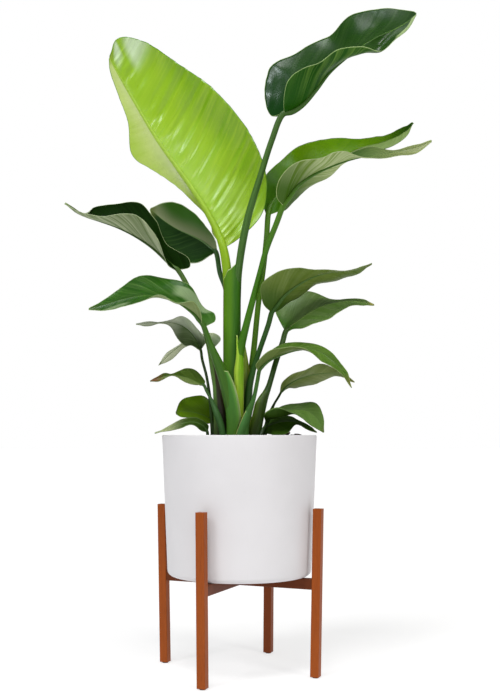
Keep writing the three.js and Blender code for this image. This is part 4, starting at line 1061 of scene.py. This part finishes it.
def soilMaterial(name, colour, dark, pale):
    maker = newMaterial(name)
    mottle = maker.mottle(120.0)
    mixed = maker.tint(maker.tint(tone(*colour), dark, mottle["Broad"]), pale, mottle["Specks"], 0.6)
    return maker.finish(mixed, maker.math("MULTIPLY_ADD", mottle["Broad"], 0.1, 0.82), 0.25,
                        (maker.noise(maker.objectPoint(), 700.0), 0.6, 0.001))


def makeCrumb(name, paint, flatness):  # a small rough lump, copied many times
    deselectAll()
    bpy.ops.mesh.primitive_ico_sphere_add(subdivisions=1, radius=1, location=(0, 0, 0))
    lump = bpy.context.object
    lump.name = name
    for vertex in lump.data.vertices:
        vertex.co *= 1 + 0.35 * noise.noise(vertex.co * 1.7 + Vector((flatness * 9, 0, 0)))
        vertex.co.z *= flatness
        vertex.co.x *= 1.3
    lump.data.materials.append(paint)
    return lump


def scatter(first, count, smallest, largest):
    copies = []
    for _ in range(count):
        radius = soilShape["spread"] * math.sqrt(random.random())
        turn = random.uniform(0, 2 * math.pi)
        x, y = radius * math.cos(turn), radius * math.sin(turn)
        size = random.uniform(smallest, largest)
        if math.hypot(x, y) + size * 1.4 > soilShape["keepWithin"]:
            continue
        copy = first.copy()
        copy.data = first.data.copy()
        bpy.context.collection.objects.link(copy)
        copy.scale = (size * mm,) * 3
        copy.rotation_euler = (random.uniform(-0.5, 0.5), random.uniform(-0.5, 0.5), random.uniform(0, 6.28))
        height = soilHeightAt(x, y) + size * soilShape["sunk"]
        copy.location = (potAxis.x + x * mm, potAxis.y + y * mm, height * mm)
        copies.append(copy)
    deselectAll()
    for copy in copies:
        copy.select_set(True)
    bpy.context.view_layer.objects.active = copies[0]
    bpy.ops.object.transform_apply(location=True, rotation=True, scale=True)
    return copies


def spreadSoil():
    def placeAt(x, y):  # the square grid drawn out to a disc
        u, v = 2 * x, 2 * y
        x, y = u * math.sqrt(1 - v * v / 2), v * math.sqrt(1 - u * u / 2)
        x, y = x * soilShape["edgeRadius"], y * soilShape["edgeRadius"]
        return Vector((x, y, soilHeightAt(x, y))), {}

    bed = growGrid("potting_soil", *soilShape["grid"], placeAt)
    makeActive(bed)
    bpy.ops.object.mode_set(mode="EDIT")
    bpy.ops.mesh.select_all(action="DESELECT")
    bpy.ops.mesh.select_mode(type="EDGE")
    bpy.ops.mesh.select_non_manifold()
    bpy.ops.mesh.extrude_region_move()
    bpy.ops.transform.resize(value=(soilShape["taper"], soilShape["taper"], 0),  # down to a flat bottom
                             center_override=(potAxis.x, potAxis.y, soilShape["bottom"] * mm))
    bpy.ops.mesh.edge_face_add()
    cleanMesh(bed)
    bed.data.materials.append(soilMaterial("soilBed", (46, 34, 26), (28, 20, 15), (74, 58, 44)))
    smoothShade(bed)
    crumb = makeCrumb("soilCrumb", soilMaterial("soilCrumbs", (52, 38, 28), (30, 22, 16), (84, 66, 50)), 1)
    chip = makeCrumb("barkChip", soilMaterial("barkChips", (104, 70, 44), (60, 40, 26), (140, 106, 74)), 0.32)
    bits = scatter(crumb, *soilShape["crumbs"]) + scatter(chip, *soilShape["chips"])
    for first in (crumb, chip):
        bpy.data.objects.remove(first)
    finishPiece(joinPieces(bed, bits), "soil")


spreadSoil()
print("soil spread")

standTurn = 22.8
woodLooks = {  # main tone, figure, pores and glow
    "leg": ((146, 70, 20), (126, 56, 14), (92, 40, 12), (162, 84, 26)),
    # the back leg's darker tone is painted shade from the pot above it, on the same wood
    "shadedBackLeg": ((120, 56, 20), (102, 46, 16), (74, 34, 12), (134, 66, 26)),
    # the rails' darker tone is painted shade under the pot, on the wood's own grain
    "rail": ((96, 45, 18), (82, 36, 14), (62, 28, 10), (110, 56, 24)),
}


def woodMaterial(name, look, turn, stretch):  # grain along the bar: turned to the bar first, then stretched
    main, figure, pore, glow = woodLooks[look]
    maker = newMaterial(name)
    point = maker.objectPoint()
    turned = maker.stretched(point, (1, 1, 1), (0, 0, math.radians(turn)))
    grain = maker.place(grainGroup, Point=maker.stretched(turned, stretch))
    colour = maker.tint(tone(*main), figure, grain["Figure"], 0.3)
    colour = maker.tint(colour, pore, grain["Pores"], 0.4)
    colour = maker.tint(colour, glow, maker.mottle(9.0, point)["Broad"], 0.2)
    return maker.finish(colour, maker.math("MULTIPLY_ADD", grain["Pores"], 0.14, 0.42), 0.15,
                        (grain["Pores"], 0.2, 0.0003))


def dowelMaterial():
    maker = newMaterial("paleDowel")
    grain = maker.place(grainGroup, Point=maker.stretched(maker.objectPoint(), (260, 260, 260)))
    return maker.finish(maker.tint(tone(206, 164, 116), (180, 134, 88), grain["Figure"]),
                        maker.math("MULTIPLY_ADD", grain["Pores"], 0.1, 0.55))


def rubberMaterial():
    maker = newMaterial("blackRubber")
    mottle = maker.mottle(90.0)
    return maker.finish(maker.tint(tone(30, 29, 28), (42, 40, 38), mottle["Broad"]),
                        maker.math("MULTIPLY_ADD", mottle["Specks"], 0.1, 0.75))


def paintStand():
    upright, level = (150, 150, 9), (9, 150, 150)
    legWood = woodMaterial("legWood", "leg", 0, upright)
    # the back leg's wood carries painted shade
    shadedBackWood = woodMaterial("shadedBackLegWood", "shadedBackLeg", 0, upright)
    paints = {"rail_lower": woodMaterial("shadedLowerRailWood", "rail", standTurn, level),
              "rail_upper": woodMaterial("shadedUpperRailWood", "rail", standTurn + 90, level)}
    dowelPaint, rubber = dowelMaterial(), rubberMaterial()
    for corner in ("front", "right", "back", "left"):
        paints["leg_" + corner] = shadedBackWood if corner == "back" else legWood
        paints["dowel_" + corner] = dowelPaint
        paints["glide_" + corner] = rubber
    for node, paint in paints.items():
        materials = bpy.data.objects[node].data.materials
        materials.clear()
        materials.append(paint)


paintStand()
print("stand painted")

studio = {"floorSize": 60, "floorGlow": 0.62, "skyStrength": 0.45, "glossStrength": 0.12}
suns = {  # turn and height in degrees, strength, softness, tint; the last three only shine in the gloss
    "softSunLeft": (-42, 42, 0.85, 16, (0.96, 0.98, 1)),
    "softSunRight": (42, 38, 0.75, 16, (1, 0.97, 0.94)),
    "softSunTop": (-12, 68, 1.25, 16, (1, 1, 1)),
    "shineFront": (5, 29, 0.7, 6, (1, 1, 1)),
    "shineLeft": (-42, 50, 1.1, 6, (0.85, 0.95, 1)),
    "shineTop": (0, 86, 0.7, 20, (0.95, 0.98, 1)),
}


def layFloor():
    deselectAll()
    bpy.ops.mesh.primitive_plane_add(size=studio["floorSize"], location=(0, 0, 0))
    floor = bpy.context.object
    floor.name = "studio_floor"
    maker = newMaterial("paleFloor")
    lit = maker.tree.nodes["Principled BSDF"].inputs  # a lit floor, on which shadows stay faint
    lit["Emission Color"].default_value = (1, 1, 1, 1)
    lit["Emission Strength"].default_value = studio["floorGlow"]
    colour = maker.tint(tone(170, 170, 170), (168, 168, 168), maker.mottle(0.8)["Broad"])
    floor.data.materials.append(maker.finish(colour, 0.9, 0.1))


def hangSun(name, turn, height, strength, softness, tint):
    light = bpy.data.lights.new(name, "SUN")
    light.energy = strength
    light.color = tint
    light.angle = math.radians(softness)
    sun = bpy.data.objects.new(name, light)
    bpy.context.collection.objects.link(sun)
    sun.rotation_euler = (math.radians(90 - height), 0, math.radians(turn))
    sun.location = (0, 0, 4)
    sun.visible_diffuse = name.startswith("softSun")


def lightSky():
    world = bpy.data.worlds.new("studioSky")
    bpy.context.scene.world = world
    world.use_nodes = True
    maker = NodeMaker(world.node_tree)
    path = maker.node("ShaderNodeLightPath").outputs
    values = {"Value": path["Is Glossy Ray"], "To Min": studio["skyStrength"],
              "To Max": studio["glossStrength"]}
    glossy = maker.wire("ShaderNodeMapRange", values, "Result")
    values = {"Value": path["Is Camera Ray"], "To Min": glossy, "To Max": 1.0}  # plain white to the camera
    strength = maker.wire("ShaderNodeMapRange", values, "Result")
    sky = maker.tree.nodes["Background"].inputs
    maker.plug((1, 1, 1, 1), sky["Color"])
    maker.plug(strength, sky["Strength"])
    bpy.context.scene.view_settings.view_transform = "Standard"


lens = {"length": 50, "sensor": 36, "shift": 85 / 700, "farEnd": 100}


def placeCamera():
    camera = bpy.data.cameras.new("photoCamera")
    camera.lens = lens["length"]
    camera.sensor_width = lens["sensor"]
    camera.shift_y = lens["shift"]
    camera.clip_end = lens["farEnd"]
    holder = bpy.data.objects.new("photoCamera", camera)
    bpy.context.collection.objects.link(holder)
    holder.location = potAxis + Vector((eye["across"], -eye["distance"], eye["height"])) * mm
    holder.rotation_euler = (math.radians(90), 0, 0)
    bpy.context.scene.camera = holder


layFloor()
for sunName, sunLook in suns.items():
    hangSun(sunName, *sunLook)
lightSky()
placeCamera()
print("studio ready")
